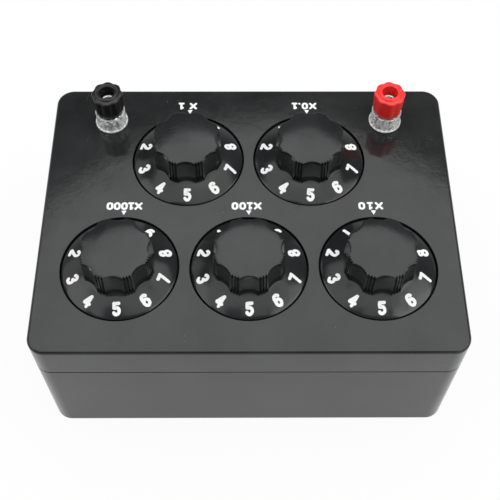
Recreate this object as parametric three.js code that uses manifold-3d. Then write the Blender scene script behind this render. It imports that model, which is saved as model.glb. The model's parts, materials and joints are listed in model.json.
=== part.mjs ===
// Decade resistance box: a moulded case with five rotary decades and two terminals.
// Millimetres, +Z up, origin at the middle of the flat underside.
// The terminals stand at the +Y edge of the panel.

import * as THREE from 'three';
import { mergeVertices } from 'three/addons/utils/BufferGeometryUtils.js';
import Module from 'manifold-3d';

const wasm = await Module();
wasm.setup();

// Fits that all the pieces share
const seatGap = 0.3; // between faces that rest on each other
const cutOverrun = 1; // how far a cutter passes the face it opens

// Case, as wide and as deep as its dials and the margins round them
const sideMargin = 9.45; // from a well's rim to the case's side
const frontMargin = 13.25;
const backMargin = 14.15;
const seamHeight = 50;
const lidHeight = 17.5;
const cornerRadius = 7;
const lidEdgeRadius = 1.2;
const baseEdgeRadius = 1;
const wallThickness = 3;
const panelThickness = 3;
const floorThickness = 3;
const tongueThickness = 1.2;
const tongueHeight = 2;

// Screws that hold the lid, driven from below
const screwInset = 8; // from the case's outside faces to the screw's axis
const baseColumnRadius = 5.5;
const lidBossRadius = 4.4;
const screwHeadRadius = 3.2;
const screwHeadHeight = 2.4;
const screwShankRadius = 1.4;
const screwHeadClearance = 0.6;
const columnWeb = 12; // material between the screw head and the seam
const screwReach = 10; // length of thread above the seam
const pilotClearance = 2; // free depth past the screw's tip

// Dial wells in the panel
const wellSpacing = 3.9; // panel between neighbouring wells of a row
const rowSpacing = 5.4; // panel between the two rows of wells
const wellDepth = 4;
const wellFloor = 2.5;
const wellWall = 2.2;
const dialGap = 0.7; // ring-shaped gap between the dial's rim and the well

// Dial knob, one moulding with a sloping skirt and a fluted grip
const skirtRadius = 22.35;
const skirtRimDrop = 0.5; // rim below the panel's surface
const skirtFloorGap = 0.5; // rim above the well's floor
const skirtRise = 2.5; // foot of the grip above the panel's surface
const skirtWall = 2;
const gripHeight = 15.4; // above the panel's surface
const gripRadius = 13.7;
const gripDraft = 0.1; // how much narrower the top is than the foot
const gripMargin = 0.3; // flat land on the skirt round the grip's foot
const scallopDepth = 1.7;
const scallopArcRadius = 6.3;
const grooveDepth = 0.35;
const gripWall = 1.9;
const knobHubRadius = 5.5;

// Dial shaft and the bush it turns in
const shaftRadius = 3;
const shaftFlatDepth = 0.8;
const shaftGrip = 9; // length held in the knob's hub
const bushFlangeRadius = 9;
const bushFlangeThickness = 2;
const bushThreadRadius = 4.7;
const bushNutFlats = 12;
const bushNutThickness = 2.6;
const bushStandProud = 0.6; // bush above its nut

// Rotary switch: contact deck, wiper and stakes
const deckRadius = 21;
const deckThickness = 2;
const contactInset = 5.5; // from the deck's edge to the contacts' circle
const contactHeadRadius = 1.8;
const contactHeadHeight = 0.8;
const collectorOuter = 6.5;
const collectorInner = 4.2;
const tagRadius = 9;
const tagWidth = 3;
const tagThickness = 1;
const tagLength = 3; // below the deck
const stopInset = 4.5; // from the contacts' circle to the stop's
const stopRadius = 1.2;
const stopHeight = 2.4;
const stakeInset = 2; // from the deck's edge to the stakes' circle
const stakeBossRadius = 1.8;
const stakePinRadius = 0.9;
const stakeHeadHeight = 1;
const wiperHubRadius = 6;
const wiperHubHeight = 3;
const wiperLeafThickness = 0.8;
const wiperWidth = 3.2;
const wiperTipRadius = 1.3;
const wiperClearance = 0.5; // under the bush
const shaftTail = 1.5; // shaft below the deck

// Resistors between neighbouring contacts
const resistorRadius = 1.4;
const resistorLength = 6;
const leadRadius = 0.5;

// Terminals, measured up from the panel's surface
const terminalInset = 24.5; // from the case's side to the terminal's axis
const terminalSetback = 17.1; // from the case's back to the terminal's axis
const insulatorFootRadius = 6.8;
const insulatorFootHeight = 1.1;
const insulatorRimRadius = 6.2;
const insulatorWall = 0.6;
const insulatorFloor = 1.6;
const insulatorHeight = 7.5;
const insulatorNeckRadius = 3.2;
const studRadius = 1.9;
const studTubeRadius = 2.8;
const socketRadius = 2.05; // takes a 4 mm plug
const studCollarRadius = 5.1;
const studCollarHeight = 4.9;
const studHeight = 14;
const socketDepth = 7;
const studTail = 9.5; // stud below the panel's surface
const wireHoleRadius = 0.9;
const capFootRadius = 5.3;
const capFootHeight = 1;
const capRadius = 6.4;
const capLowerRadius = 6;
const capLobeDepth = 0.5;
const capHeight = 18.8;
const capCollarRadius = 4.6;
const capCollarHeight = 0.8;
const capEdge = 0.4;
const capHoleRadius = 3.15;
const threadBushRadius = 4;
const threadBushHeight = 5;
const lugThickness = 0.8;
const lugRadius = 4;
const lugWidth = 3;
const lugReach = 10;
const terminalNutFlats = 7;
const terminalNutThickness = 3.2;

// Hook-up wires
const wireRadius = 0.8;
const shortWireSag = 12;
const longWireSag = 24;

// Counts
const positionCount = 10;
const scallopCount = 8;
const groovesPerLand = 4;
const capLobeCount = 8;
const cornerSteps = 5;
const edgeSteps = 2;
const scallopSteps = 4;
const lobeSteps = 4;
const wellSides = 32;
const wellBackSides = 16;
const skirtSides = 32;
const postSides = 16;
const roundSides = 12;
const smallSides = 8;
const rivetSides = 5;
const hexSides = 6;
const wireSides = 6;
const wireSteps = 9;

const fullTurn = 2 * Math.PI;
const halfTurn = Math.PI;
const quarterTurn = halfTurn / 2;
const positionStep = fullTurn / positionCount;

// Places that follow from the sizes above
const wellRadius = skirtRadius + dialGap;
const dialPitch = 2 * wellRadius + wellSpacing;
const rowPitch = 2 * wellRadius + rowSpacing;
const caseWidth = 2 * (dialPitch + wellRadius + sideMargin);
const caseDepth = frontMargin + 2 * wellRadius + rowPitch + backMargin;
const nearRowY = frontMargin + wellRadius - caseDepth / 2;
const farRowY = nearRowY + rowPitch;
const terminalX = caseWidth / 2 - terminalInset;
const terminalY = caseDepth / 2 - terminalSetback;
const contactCircle = deckRadius - contactInset;
const stopCircle = contactCircle - stopInset;
const stakeCircle = deckRadius - stakeInset;

// Heights that follow
const panelTop = seamHeight + lidHeight;
const panelUnderside = panelTop - panelThickness;
const wellFloorTop = panelTop - wellDepth;
const wellUnderside = wellFloorTop - wellFloor;
const knobBottom = wellFloorTop + skirtFloorGap;
const rimTop = panelTop - skirtRimDrop;
const skirtTop = panelTop + skirtRise;
const gripTop = panelTop + gripHeight;
const bushTop = wellFloorTop + seatGap + bushNutThickness + bushStandProud;
const hubBottom = bushTop + seatGap;
const shaftTop = hubBottom + shaftGrip;
const gripCeiling = gripTop - gripWall;
const bushBottom = wellUnderside - seatGap - bushFlangeThickness;
const wiperTop = bushBottom - wiperClearance;
const wiperBottom = wiperTop - wiperHubHeight;
const contactTop = wiperBottom - seatGap;
const deckTop = contactTop - contactHeadHeight;
const deckBottom = deckTop - deckThickness;
const shaftBottom = deckBottom - shaftTail;
const jointLevel = deckBottom - seatGap - leadRadius;
const resistorLevel = deckBottom - seatGap - resistorRadius;
const bushBore = boreRadius(shaftRadius + seatGap, roundSides);

// Solids and meshes

// Turns closed three.js geometry into a solid, with its faces pointing out.
function solidOf(geometry) {
  const plain = geometry.clone();
  plain.deleteAttribute('normal');
  if (plain.hasAttribute('uv')) plain.deleteAttribute('uv');
  const merged = mergeVertices(plain);
  const points = merged.getAttribute('position');
  const corners = [];
  for (let i = 0; i < merged.index.count; i += 3) {
    const face = [merged.index.getX(i), merged.index.getX(i + 1), merged.index.getX(i + 2)];
    if (new Set(face).size === face.length) corners.push(face);
  }
  const [a, b, c] = [new THREE.Vector3(), new THREE.Vector3(), new THREE.Vector3()];
  let volume = 0;
  for (const face of corners) {
    a.fromBufferAttribute(points, face[0]);
    b.fromBufferAttribute(points, face[1]);
    c.fromBufferAttribute(points, face[2]);
    volume += a.dot(b.cross(c));
  }
  if (volume < 0) corners.forEach((face) => face.reverse());
  return new wasm.Manifold(new wasm.Mesh({
    numProp: 3,
    vertProperties: new Float32Array(points.array),
    triVerts: new Uint32Array(corners.flat()),
  }));
}

function geometryOf(solid) {
  const mesh = solid.getMesh();
  const geometry = new THREE.BufferGeometry();
  geometry.setAttribute('position', new THREE.BufferAttribute(mesh.vertProperties, mesh.numProp));
  geometry.setIndex(new THREE.BufferAttribute(mesh.triVerts, 1));
  geometry.computeVertexNormals();
  return geometry;
}

function joined(first, ...others) {
  return others.reduce((sum, other) => sum.add(other), first);
}

function cutBy(first, ...others) {
  return others.reduce((rest, other) => rest.subtract(other), first);
}

// Revolves [radius, height] pairs round the Z axis.
function revolved(profile, sides) {
  const points = profile.map(([radius, height]) => new THREE.Vector2(radius, height));
  return solidOf(new THREE.LatheGeometry(points, sides).rotateX(quarterTurn));
}

// A revolved ring, whose profile closes on itself.
function revolvedRing(profile, sides) {
  return revolved([...profile, profile[0]], sides);
}

function rod(radius, bottom, top, sides) {
  return revolved([[0, bottom], [radius, bottom], [radius, top], [0, top]], sides);
}

// The corner radius of a faceted bore whose flats lie at the given radius.
function boreRadius(radius, sides) {
  return radius / Math.cos(halfTurn / sides);
}

// A cutter for a round hole, no narrower than its radius anywhere.
function hole(radius, bottom, top, sides) {
  return rod(boreRadius(radius, sides), bottom - cutOverrun, top + cutOverrun, sides);
}

function at(solid, x, y) {
  return solid.translate(x, y, 0);
}

function polar(radius, angle) {
  return [radius * Math.cos(angle), radius * Math.sin(angle)];
}

// A closed solid through rings of the same count.
function lofted(rings) {
  const count = rings[0].length;
  const positions = rings.flat().flatMap((point) => point.toArray());
  const cap = capFaces(rings[0]);
  const topStart = (rings.length - 1) * count;
  const index = [];
  for (let ring = 0; ring < rings.length - 1; ring += 1) {
    for (let i = 0; i < count; i += 1) {
      const low = ring * count + i;
      const next = ring * count + (i + 1) % count;
      index.push(low, next, next + count, low, next + count, low + count);
    }
  }
  for (const [i, j, k] of cap) index.push(k, j, i, topStart + i, topStart + j, topStart + k);
  const geometry = new THREE.BufferGeometry();
  geometry.setAttribute('position', new THREE.Float32BufferAttribute(positions, 3));
  geometry.setIndex(index);
  geometry.computeVertexNormals();
  return solidOf(geometry);
}

// Triangles over a flat ring, seen along its normal.
function capFaces(ring) {
  const centre = ring.reduce((sum, point) => sum.add(point), new THREE.Vector3()).divideScalar(ring.length);
  const arm = ring[0].clone().sub(centre).normalize();
  const normal = new THREE.Vector3();
  ring.forEach((point, i) => {
    const next = ring[(i + 1) % ring.length].clone().sub(centre);
    normal.add(point.clone().sub(centre).cross(next));
  });
  const side = normal.normalize().clone().cross(arm);
  const flat = ring.map((point) => {
    const offset = point.clone().sub(centre);
    return new THREE.Vector2(offset.dot(arm), offset.dot(side));
  });
  return THREE.ShapeUtils.triangulateShape(flat, []);
}

function ringAt(outline, height) {
  return outline.map(([x, y]) => new THREE.Vector3(x, y, height));
}

function extruded(outline, bottom, top) {
  return lofted([ringAt(outline, bottom), ringAt(outline, top)]);
}

// Outlines, as [x, y] pairs running counterclockwise seen from above

function rectangle(width, depth) {
  const [x, y] = [width / 2, depth / 2];
  return [[-x, -y], [x, -y], [x, y], [-x, y]];
}

function polygon(acrossFlats, sides) {
  const radius = acrossFlats / 2 / Math.cos(halfTurn / sides);
  return Array.from({ length: sides }, (_, i) => polar(radius, (i * fullTurn) / sides));
}

// The case's plan, drawn in by an inset on every side.
function caseOutline(inset) {
  const radius = cornerRadius - inset;
  const [x, y] = [caseWidth / 2 - cornerRadius, caseDepth / 2 - cornerRadius];
  const centres = [[x, y], [-x, y], [-x, -y], [x, -y]];
  return centres.flatMap(([centreX, centreY], corner) => (
    Array.from({ length: cornerSteps + 1 }, (_, i) => {
      const [dx, dy] = polar(radius, (corner + i / cornerSteps) * quarterTurn);
      return [centreX + dx, centreY + dy];
    })
  ));
}

function caseBlock(levels) {
  return lofted(levels.map(([inset, height]) => ringAt(caseOutline(inset), height)));
}

// [inset, rise] pairs of a quarter-round edge, from the upright wall to the flat face.
function roundEdge(radius) {
  return Array.from({ length: edgeSteps + 1 }, (_, i) => {
    const angle = (i / edgeSteps) * quarterTurn;
    return [radius * (1 - Math.cos(angle)), radius * Math.sin(angle)];
  });
}

// A round outline with one flat, at a fixed distance from the axis on the +Y side.
function flattedRound(radius, flatDistance) {
  const half = Math.acos(flatDistance / radius);
  const start = quarterTurn + half;
  const sweep = fullTurn - 2 * half;
  return Array.from({ length: roundSides + 1 }, (_, i) => polar(radius, start + (i / roundSides) * sweep));
}

// Shells of the case

function screwPlaces() {
  const [x, y] = [caseWidth / 2 - screwInset, caseDepth / 2 - screwInset];
  return [[-x, -y], [x, -y], [x, y], [-x, y]];
}

const headSeat = seamHeight - seatGap - columnWeb;

function baseCase() {
  const rim = seamHeight - seatGap;
  const foot = roundEdge(baseEdgeRadius).reverse().map(([inset, rise]) => [inset, baseEdgeRadius - rise]);
  const outside = caseBlock([...foot, [0, rim]]);
  const tongueOutside = wallThickness - tongueThickness;
  const tongue = caseBlock([[tongueOutside, rim], [tongueOutside, seamHeight + tongueHeight]]);
  const inside = caseBlock([
    [wallThickness, floorThickness],
    [wallThickness, seamHeight + tongueHeight + cutOverrun],
  ]);
  const shell = cutBy(joined(outside, tongue), inside);
  const columns = screwPlaces().map(([x, y]) => (
    at(rod(baseColumnRadius, floorThickness, rim, roundSides), x, y)
      .intersect(caseBlock([[wallThickness / 2, 0], [wallThickness / 2, rim]]))
  ));
  const counterbore = rod(screwHeadRadius + screwHeadClearance, -cutOverrun, headSeat, roundSides);
  const clearance = hole(screwShankRadius + seatGap, headSeat, rim, smallSides);
  const holes = screwPlaces().flatMap(([x, y]) => [at(counterbore, x, y), at(clearance, x, y)]);
  return cutBy(joined(shell, ...columns), ...holes);
}

function dialWell() {
  return rod(wellRadius + wellWall, wellUnderside, panelTop, wellBackSides);
}

function dialWellHollow() {
  return joined(
    rod(boreRadius(wellRadius, wellSides), wellFloorTop, panelTop + cutOverrun, wellSides),
    hole(bushThreadRadius + seatGap, wellUnderside, wellFloorTop, roundSides),
  );
}

// A peg that passes through the contact deck and is melted over below it.
function stake() {
  const shoulder = deckTop + seatGap;
  const headTop = deckBottom - seatGap;
  return revolved([
    [0, headTop - stakeHeadHeight],
    [stakeBossRadius, headTop - stakeHeadHeight],
    [stakeBossRadius, headTop],
    [stakePinRadius, headTop],
    [stakePinRadius, shoulder],
    [stakeBossRadius, shoulder],
    [stakeBossRadius, wellUnderside],
    [0, wellUnderside],
  ], hexSides);
}

function lidPanel(dialPlaces, terminalPlaces) {
  const edge = roundEdge(lidEdgeRadius).map(([inset, rise]) => [inset, panelTop - lidEdgeRadius + rise]);
  const outside = caseBlock([[0, seamHeight], ...edge]);
  const inside = caseBlock([[wallThickness, seamHeight - cutOverrun], [wallThickness, panelUnderside]]);
  const rebateInset = wallThickness - tongueThickness - seatGap;
  const rebate = caseBlock([
    [rebateInset, seamHeight - cutOverrun],
    [rebateInset, seamHeight + tongueHeight + seatGap],
  ]);
  const wells = dialPlaces.map(([x, y]) => at(dialWell(), x, y));
  const bosses = screwPlaces().map(([x, y]) => (
    at(rod(lidBossRadius, seamHeight, panelUnderside, smallSides), x, y)
  ));
  const stakes = dialPlaces.flatMap(([x, y]) => [
    at(stake(), x - stakeCircle, y),
    at(stake(), x + stakeCircle, y),
  ]);
  const hollows = dialPlaces.map(([x, y]) => at(dialWellHollow(), x, y));
  const pilotTop = seamHeight + screwReach + pilotClearance - cutOverrun;
  const pilot = hole(screwShankRadius + seatGap, seamHeight, pilotTop, smallSides);
  const pilots = screwPlaces().map(([x, y]) => at(pilot, x, y));
  const neck = hole(insulatorNeckRadius + seatGap, panelUnderside, panelTop, roundSides);
  const necks = terminalPlaces.map(([x, y]) => at(neck, x, y));
  const shell = cutBy(outside, inside, rebate);
  return cutBy(joined(shell, ...wells, ...bosses, ...stakes), ...hollows, ...pilots, ...necks);
}

function caseScrew() {
  const headTop = headSeat - seatGap;
  return revolved([
    [0, headTop - screwHeadHeight],
    [screwHeadRadius, headTop - screwHeadHeight],
    [screwHeadRadius, headTop],
    [screwShankRadius, headTop],
    [screwShankRadius, seamHeight + screwReach],
    [0, seamHeight + screwReach],
  ], smallSides);
}

// Dial knob

const gripFootRadius = gripRadius + gripMargin;
const coneSlope = (skirtTop - rimTop) / (skirtRadius - gripFootRadius);

// The fluted plan: scallops, one of them facing -Y, with grooved lands between them.
function gripOutline(radius) {
  const floorRadius = radius - scallopDepth;
  const centreDistance = floorRadius + scallopArcRadius;
  const reach = (radius ** 2 - scallopArcRadius ** 2 + centreDistance ** 2) / (2 * centreDistance);
  const halfWidth = Math.acos(reach / radius);
  const arcHalf = Math.asin((radius * Math.sin(halfWidth)) / scallopArcRadius);
  const pitch = fullTurn / scallopCount;
  const land = pitch - 2 * halfWidth;
  const ridgePoints = 2 * groovesPerLand;
  const points = [];
  for (let scallop = 0; scallop < scallopCount; scallop += 1) {
    const middle = scallop * pitch - quarterTurn;
    for (let i = 0; i < scallopSteps; i += 1) {
      const angle = ((i / scallopSteps) * 2 - 1) * arcHalf;
      const [along, across] = [
        centreDistance - scallopArcRadius * Math.cos(angle),
        scallopArcRadius * Math.sin(angle),
      ];
      points.push([
        along * Math.cos(middle) - across * Math.sin(middle),
        along * Math.sin(middle) + across * Math.cos(middle),
      ]);
    }
    for (let i = 0; i < ridgePoints; i += 1) {
      const depth = (i % 2) * grooveDepth;
      points.push(polar(radius - depth, middle + halfWidth + (i / ridgePoints) * land));
    }
  }
  return points;
}

function knobUnderside() {
  const rimInside = skirtRadius - skirtWall;
  const gripInside = gripRadius - gripDraft - scallopDepth - gripWall;
  const drop = skirtWall * Math.hypot(1, coneSlope);
  const under = (radius) => rimTop + (skirtRadius - radius) * coneSlope - drop;
  return revolved([
    [0, knobBottom - cutOverrun],
    [rimInside, knobBottom - cutOverrun],
    [rimInside, under(rimInside)],
    [gripInside, under(gripInside)],
    [gripInside, gripCeiling],
    [knobHubRadius, gripCeiling],
    [knobHubRadius, hubBottom],
    [0, hubBottom],
  ], roundSides);
}

function dialKnob() {
  const skirt = revolved([
    [0, knobBottom],
    [skirtRadius, knobBottom],
    [skirtRadius, rimTop],
    [gripFootRadius, skirtTop],
    [0, skirtTop],
  ], skirtSides);
  const grip = lofted([
    ringAt(gripOutline(gripRadius), skirtTop),
    ringAt(gripOutline(gripRadius - gripDraft), gripTop),
  ]);
  const bore = extruded(
    flattedRound(shaftRadius + seatGap, shaftRadius - shaftFlatDepth + seatGap),
    hubBottom - cutOverrun,
    shaftTop + seatGap,
  );
  return cutBy(joined(skirt, grip), knobUnderside(), bore);
}

// Shaft, bush and nut of a dial

function dialShaft() {
  const flat = extruded(rectangle(2 * shaftRadius, 2 * shaftFlatDepth), bushTop, shaftTop + cutOverrun);
  return cutBy(rod(shaftRadius, shaftBottom, shaftTop, roundSides), at(flat, 0, shaftRadius));
}

function bush() {
  const flangeTop = bushBottom + bushFlangeThickness;
  return revolvedRing([
    [bushBore, bushBottom],
    [bushFlangeRadius, bushBottom],
    [bushFlangeRadius, flangeTop],
    [bushThreadRadius, flangeTop],
    [bushThreadRadius, bushTop],
    [bushBore, bushTop],
  ], roundSides);
}

function hexNut(flats, threadRadius, bottom, thickness) {
  const top = bottom + thickness;
  const bore = hole(threadRadius + seatGap, bottom, top, smallSides);
  return cutBy(extruded(polygon(flats, hexSides), bottom, top), bore);
}

// Rotary switch. Contact 0 lies on the +Y side and the numbers run clockwise seen from above.

function contactAngle(position) {
  return quarterTurn - position * positionStep;
}

function contact() {
  return rod(contactHeadRadius, deckTop, contactTop, rivetSides);
}

function contactDeck() {
  const disc = rod(deckRadius, deckBottom, deckTop, postSides);
  const contacts = Array.from({ length: positionCount }, (_, i) => (
    at(contact(), ...polar(contactCircle, contactAngle(i)))
  ));
  const collector = rod(collectorOuter, deckTop, contactTop, roundSides);
  const tagOutline = rectangle(tagWidth, tagThickness);
  const tag = at(extruded(tagOutline, deckBottom - tagLength, deckTop), 0, -tagRadius);
  const stopAngle = contactAngle(0) + positionStep / 2;
  const stop = at(rod(stopRadius, deckTop, deckTop + stopHeight, hexSides),
    ...polar(stopCircle, stopAngle));
  const shaftHole = hole(collectorInner, deckBottom, contactTop, roundSides);
  const stakeHole = hole(stakePinRadius + seatGap, deckBottom, deckTop, hexSides);
  return cutBy(
    joined(disc, collector, tag, stop, ...contacts),
    shaftHole,
    at(stakeHole, stakeCircle, 0),
    at(stakeHole, -stakeCircle, 0),
  );
}

function wiper() {
  const leafBottom = wiperBottom + wiperLeafThickness;
  const leafLength = contactCircle + wiperTipRadius;
  const leafOutline = rectangle(wiperWidth, leafLength);
  const hub = rod(wiperHubRadius, wiperBottom, wiperTop, roundSides);
  const leaf = at(extruded(leafOutline, leafBottom, leafBottom + wiperLeafThickness), 0, leafLength / 2);
  const tip = at(rod(wiperTipRadius, wiperBottom, leafBottom, hexSides), 0, contactCircle);
  const bore = hole(shaftRadius + seatGap, wiperBottom, wiperTop, roundSides);
  return cutBy(joined(hub, leaf, tip), bore);
}

// Nine resistors end to end, their leads bent up to the joints below the contacts.
function resistorString() {
  const middleCircle = contactCircle * Math.cos(positionStep / 2);
  const section = ([x, y], height, angle, radius) => (
    polygon(2 * radius, rivetSides).map(([out, up]) => (
      new THREE.Vector3(x + out * Math.cos(angle), y + out * Math.sin(angle), height + up)
    ))
  );
  const rings = [];
  for (let i = 0; i < positionCount; i += 1) {
    const jointAngle = contactAngle(i);
    rings.push(section(polar(contactCircle, jointAngle), jointLevel, jointAngle, leadRadius));
    if (i === positionCount - 1) break;
    const angle = contactAngle(i + 1 / 2);
    const [x, y] = polar(middleCircle, angle);
    for (const side of [1, -1]) {
      const [dx, dy] = polar((side * resistorLength) / 2, angle + quarterTurn);
      rings.push(section([x + dx, y + dy], resistorLevel, angle, resistorRadius));
    }
  }
  return lofted(rings);
}

// Terminals

const insulatorBottom = panelTop + seatGap;
const cupFloor = insulatorBottom + insulatorFloor;
const cupRim = panelTop + insulatorHeight;
const collarBottom = cupFloor + seatGap;
const collarTop = collarBottom + studCollarHeight;
const studTop = panelTop + studHeight;
const capBottom = collarTop + seatGap;
const capTop = panelTop + capHeight;
const lugTop = panelUnderside - seatGap;
const lugBottom = lugTop - lugThickness;
const terminalNutBottom = lugBottom - seatGap - terminalNutThickness;

// A clear cup that narrows from its foot to its rim.
function insulator() {
  const bore = boreRadius(studRadius + seatGap, postSides);
  const cupInside = boreRadius(insulatorRimRadius - insulatorWall, postSides);
  return revolvedRing([
    [bore, panelUnderside + seatGap],
    [insulatorNeckRadius, panelUnderside + seatGap],
    [insulatorNeckRadius, insulatorBottom],
    [insulatorFootRadius, insulatorBottom],
    [insulatorFootRadius, insulatorBottom + insulatorFootHeight],
    [insulatorRimRadius, cupRim],
    [cupInside, cupRim],
    [cupInside, cupFloor],
    [bore, cupFloor],
  ], postSides);
}

// Threaded stud with a plug socket in its top and a cross hole for a bare wire.
function terminalStud() {
  const socketBottom = studTop - socketDepth;
  const body = revolved([
    [0, panelTop - studTail],
    [studRadius, panelTop - studTail],
    [studRadius, collarBottom],
    [studCollarRadius, collarBottom],
    [studCollarRadius, collarTop],
    [studTubeRadius, collarTop],
    [studTubeRadius, studTop],
    [socketRadius, studTop],
    [socketRadius, socketBottom],
    [0, socketBottom],
  ], roundSides);
  const reach = studTubeRadius + cutOverrun;
  const wireHole = rod(wireHoleRadius, -reach, reach, smallSides)
    .rotate(0, 90, 0)
    .translate(0, 0, collarTop + wireHoleRadius + seatGap);
  return cutBy(body, wireHole);
}

function lobedOutline(radius, lobeDepth) {
  const count = capLobeCount * lobeSteps;
  return Array.from({ length: count }, (_, i) => {
    const angle = (i / count) * fullTurn;
    const swing = (1 - Math.cos(capLobeCount * angle)) / 2;
    return polar(radius - lobeDepth * swing, angle);
  });
}

function terminalCap() {
  const shoulder = capTop - capCollarHeight;
  const ring = (radius, lobeDepth, height) => ringAt(lobedOutline(radius, lobeDepth), height);
  const body = lofted([
    ring(capFootRadius, 0, capBottom),
    ring(capFootRadius, 0, capBottom + capFootHeight),
    ring(capLowerRadius, capLobeDepth / 2, capBottom + 2 * capFootHeight),
    ring(capRadius, capLobeDepth, shoulder - capEdge),
    ring(capRadius - capEdge, capLobeDepth, shoulder),
  ]);
  const collar = revolved([
    [0, shoulder],
    [capCollarRadius, shoulder],
    [capCollarRadius, capTop - capEdge],
    [capCollarRadius - capEdge, capTop],
    [0, capTop],
  ], postSides);
  const through = hole(capHoleRadius, capBottom, capTop, postSides);
  const pocketTop = capBottom + 2 * seatGap + threadBushHeight - cutOverrun;
  const pocket = hole(threadBushRadius + seatGap, capBottom, pocketTop, roundSides);
  return cutBy(joined(body, collar), through, pocket);
}

function threadBush() {
  const bottom = capBottom + seatGap;
  const bore = boreRadius(studTubeRadius + seatGap, roundSides);
  return revolvedRing([
    [bore, bottom],
    [threadBushRadius, bottom],
    [threadBushRadius, bottom + threadBushHeight],
    [bore, bottom + threadBushHeight],
  ], roundSides);
}

// Solder lug, with its tail towards -Y.
function solderLug() {
  const ring = rod(lugRadius, lugBottom, lugTop, smallSides);
  const tail = at(extruded(rectangle(lugWidth, lugReach), lugBottom, lugTop), 0, -lugReach / 2);
  return cutBy(joined(ring, tail), hole(studRadius + seatGap, lugBottom, lugTop, smallSides));
}

// Hook-up wire that hangs between two ends, leaving each straight down.
function hookUpWire(start, end, sag) {
  const below = new THREE.Vector3(0, 0, -sag);
  const path = new THREE.CubicBezierCurve3(start, start.clone().add(below), end.clone().add(below), end);
  const corners = polygon(2 * wireRadius, wireSides).map(([x, y]) => new THREE.Vector2(x, y));
  const section = new THREE.Shape(corners);
  return solidOf(new THREE.ExtrudeGeometry(section, { steps: wireSteps, extrudePath: path }));
}

// Materials
const blackMoulding = { color: 0x141516, roughness: 0.35, metalness: 0 };
const blackGloss = { color: 0x0b0c0d, roughness: 0.18, metalness: 0 };
const redGloss = { color: 0xc8161c, roughness: 0.25, metalness: 0 };
const clearPlastic = { color: 0xdfe8ea, roughness: 0.1, metalness: 0, transparent: true, opacity: 0.4 };
const steel = { color: 0x9fa3a6, roughness: 0.35, metalness: 1 };
const nickel = { color: 0xc9c6bd, roughness: 0.25, metalness: 1 };
const brass = { color: 0xb5892f, roughness: 0.35, metalness: 1 };
const bronze = { color: 0xa8682f, roughness: 0.4, metalness: 1 };
const phenolic = { color: 0x5a3216, roughness: 0.6, metalness: 0 };
const resistorBlue = { color: 0x3f6f8f, roughness: 0.5, metalness: 0 };
const wireRed = { color: 0x9c2b22, roughness: 0.5, metalness: 0 };

function pieceMesh(name, solid, material) {
  const mesh = new THREE.Mesh(geometryOf(solid), new THREE.MeshStandardMaterial(material));
  mesh.name = name;
  return mesh;
}

// The decades, in the order that the current passes them
const decades = [
  { name: 'thousands', x: -dialPitch, y: nearRowY },
  { name: 'hundreds', x: 0, y: nearRowY },
  { name: 'tens', x: dialPitch, y: nearRowY },
  { name: 'units', x: -dialPitch / 2, y: farRowY },
  { name: 'tenths', x: dialPitch / 2, y: farRowY },
];

const terminals = [
  { name: 'black', x: -terminalX, y: terminalY, finish: blackGloss },
  { name: 'red', x: terminalX, y: terminalY, finish: redGloss },
];

function decade({ name, x, y }) {
  const group = new THREE.Group();
  const bushNut = hexNut(bushNutFlats, bushThreadRadius, wellFloorTop + seatGap, bushNutThickness);
  group.add(
    pieceMesh(`${name}_knob`, dialKnob(), blackGloss),
    pieceMesh(`${name}_shaft`, dialShaft(), steel),
    pieceMesh(`${name}_wiper`, wiper(), bronze),
    pieceMesh(`${name}_bush`, bush(), brass),
    pieceMesh(`${name}_bush_nut`, bushNut, steel),
    pieceMesh(`${name}_contact_deck`, contactDeck(), phenolic),
    pieceMesh(`${name}_resistors`, resistorString(), resistorBlue),
  );
  group.position.set(x, y, 0);
  return group;
}

function terminal({ name, x, y, finish }) {
  const group = new THREE.Group();
  const nut = hexNut(terminalNutFlats, studRadius, terminalNutBottom, terminalNutThickness);
  group.add(
    pieceMesh(`${name}_terminal_cap`, terminalCap(), finish),
    pieceMesh(`${name}_terminal_thread_bush`, threadBush(), brass),
    pieceMesh(`${name}_terminal_insulator`, insulator(), clearPlastic),
    pieceMesh(`${name}_terminal_stud`, terminalStud(), nickel),
    pieceMesh(`${name}_terminal_lug`, solderLug(), nickel),
    pieceMesh(`${name}_terminal_nut`, nut, steel),
  );
  group.position.set(x, y, 0);
  return group;
}

// Where the wires meet the pieces that they join
function stringEnd({ x, y }) {
  return new THREE.Vector3(x - wireRadius, y + contactCircle, jointLevel - leadRadius - seatGap);
}

function collectorTag({ x, y }) {
  return new THREE.Vector3(x, y - tagRadius, deckBottom - tagLength - seatGap);
}

function lugTail({ x, y }) {
  return new THREE.Vector3(x, y - lugReach + wireRadius, lugBottom - seatGap);
}

function wires() {
  const [thousands, hundreds, tens, units, tenths] = decades;
  const [black, red] = terminals;
  const runs = [
    ['black_terminal_wire', lugTail(black), stringEnd(thousands), shortWireSag],
    ['thousands_wire', collectorTag(thousands), stringEnd(hundreds), shortWireSag],
    ['hundreds_wire', collectorTag(hundreds), stringEnd(tens), shortWireSag],
    ['tens_wire', collectorTag(tens), stringEnd(units), longWireSag],
    ['units_wire', collectorTag(units), stringEnd(tenths), shortWireSag],
    ['red_terminal_wire', collectorTag(tenths), lugTail(red), longWireSag],
  ];
  return runs.map(([name, start, end, sag]) => pieceMesh(name, hookUpWire(start, end, sag), wireRed));
}

function screws() {
  return screwPlaces().map(([x, y], i) => {
    const mesh = pieceMesh(`case_screw_${i + 1}`, caseScrew(), steel);
    mesh.position.set(x, y, 0);
    return mesh;
  });
}

const box = new THREE.Group();
const places = (list) => list.map(({ x, y }) => [x, y]);
box.add(
  pieceMesh('lid_panel', lidPanel(places(decades), places(terminals)), blackMoulding),
  pieceMesh('base_case', baseCase(), blackMoulding),
  ...screws(),
  ...decades.map(decade),
  ...terminals.map(terminal),
  ...wires(),
);

export default box;
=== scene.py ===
import json
import math
import random

import bmesh
import bpy
from mathutils import Matrix, Vector


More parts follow.
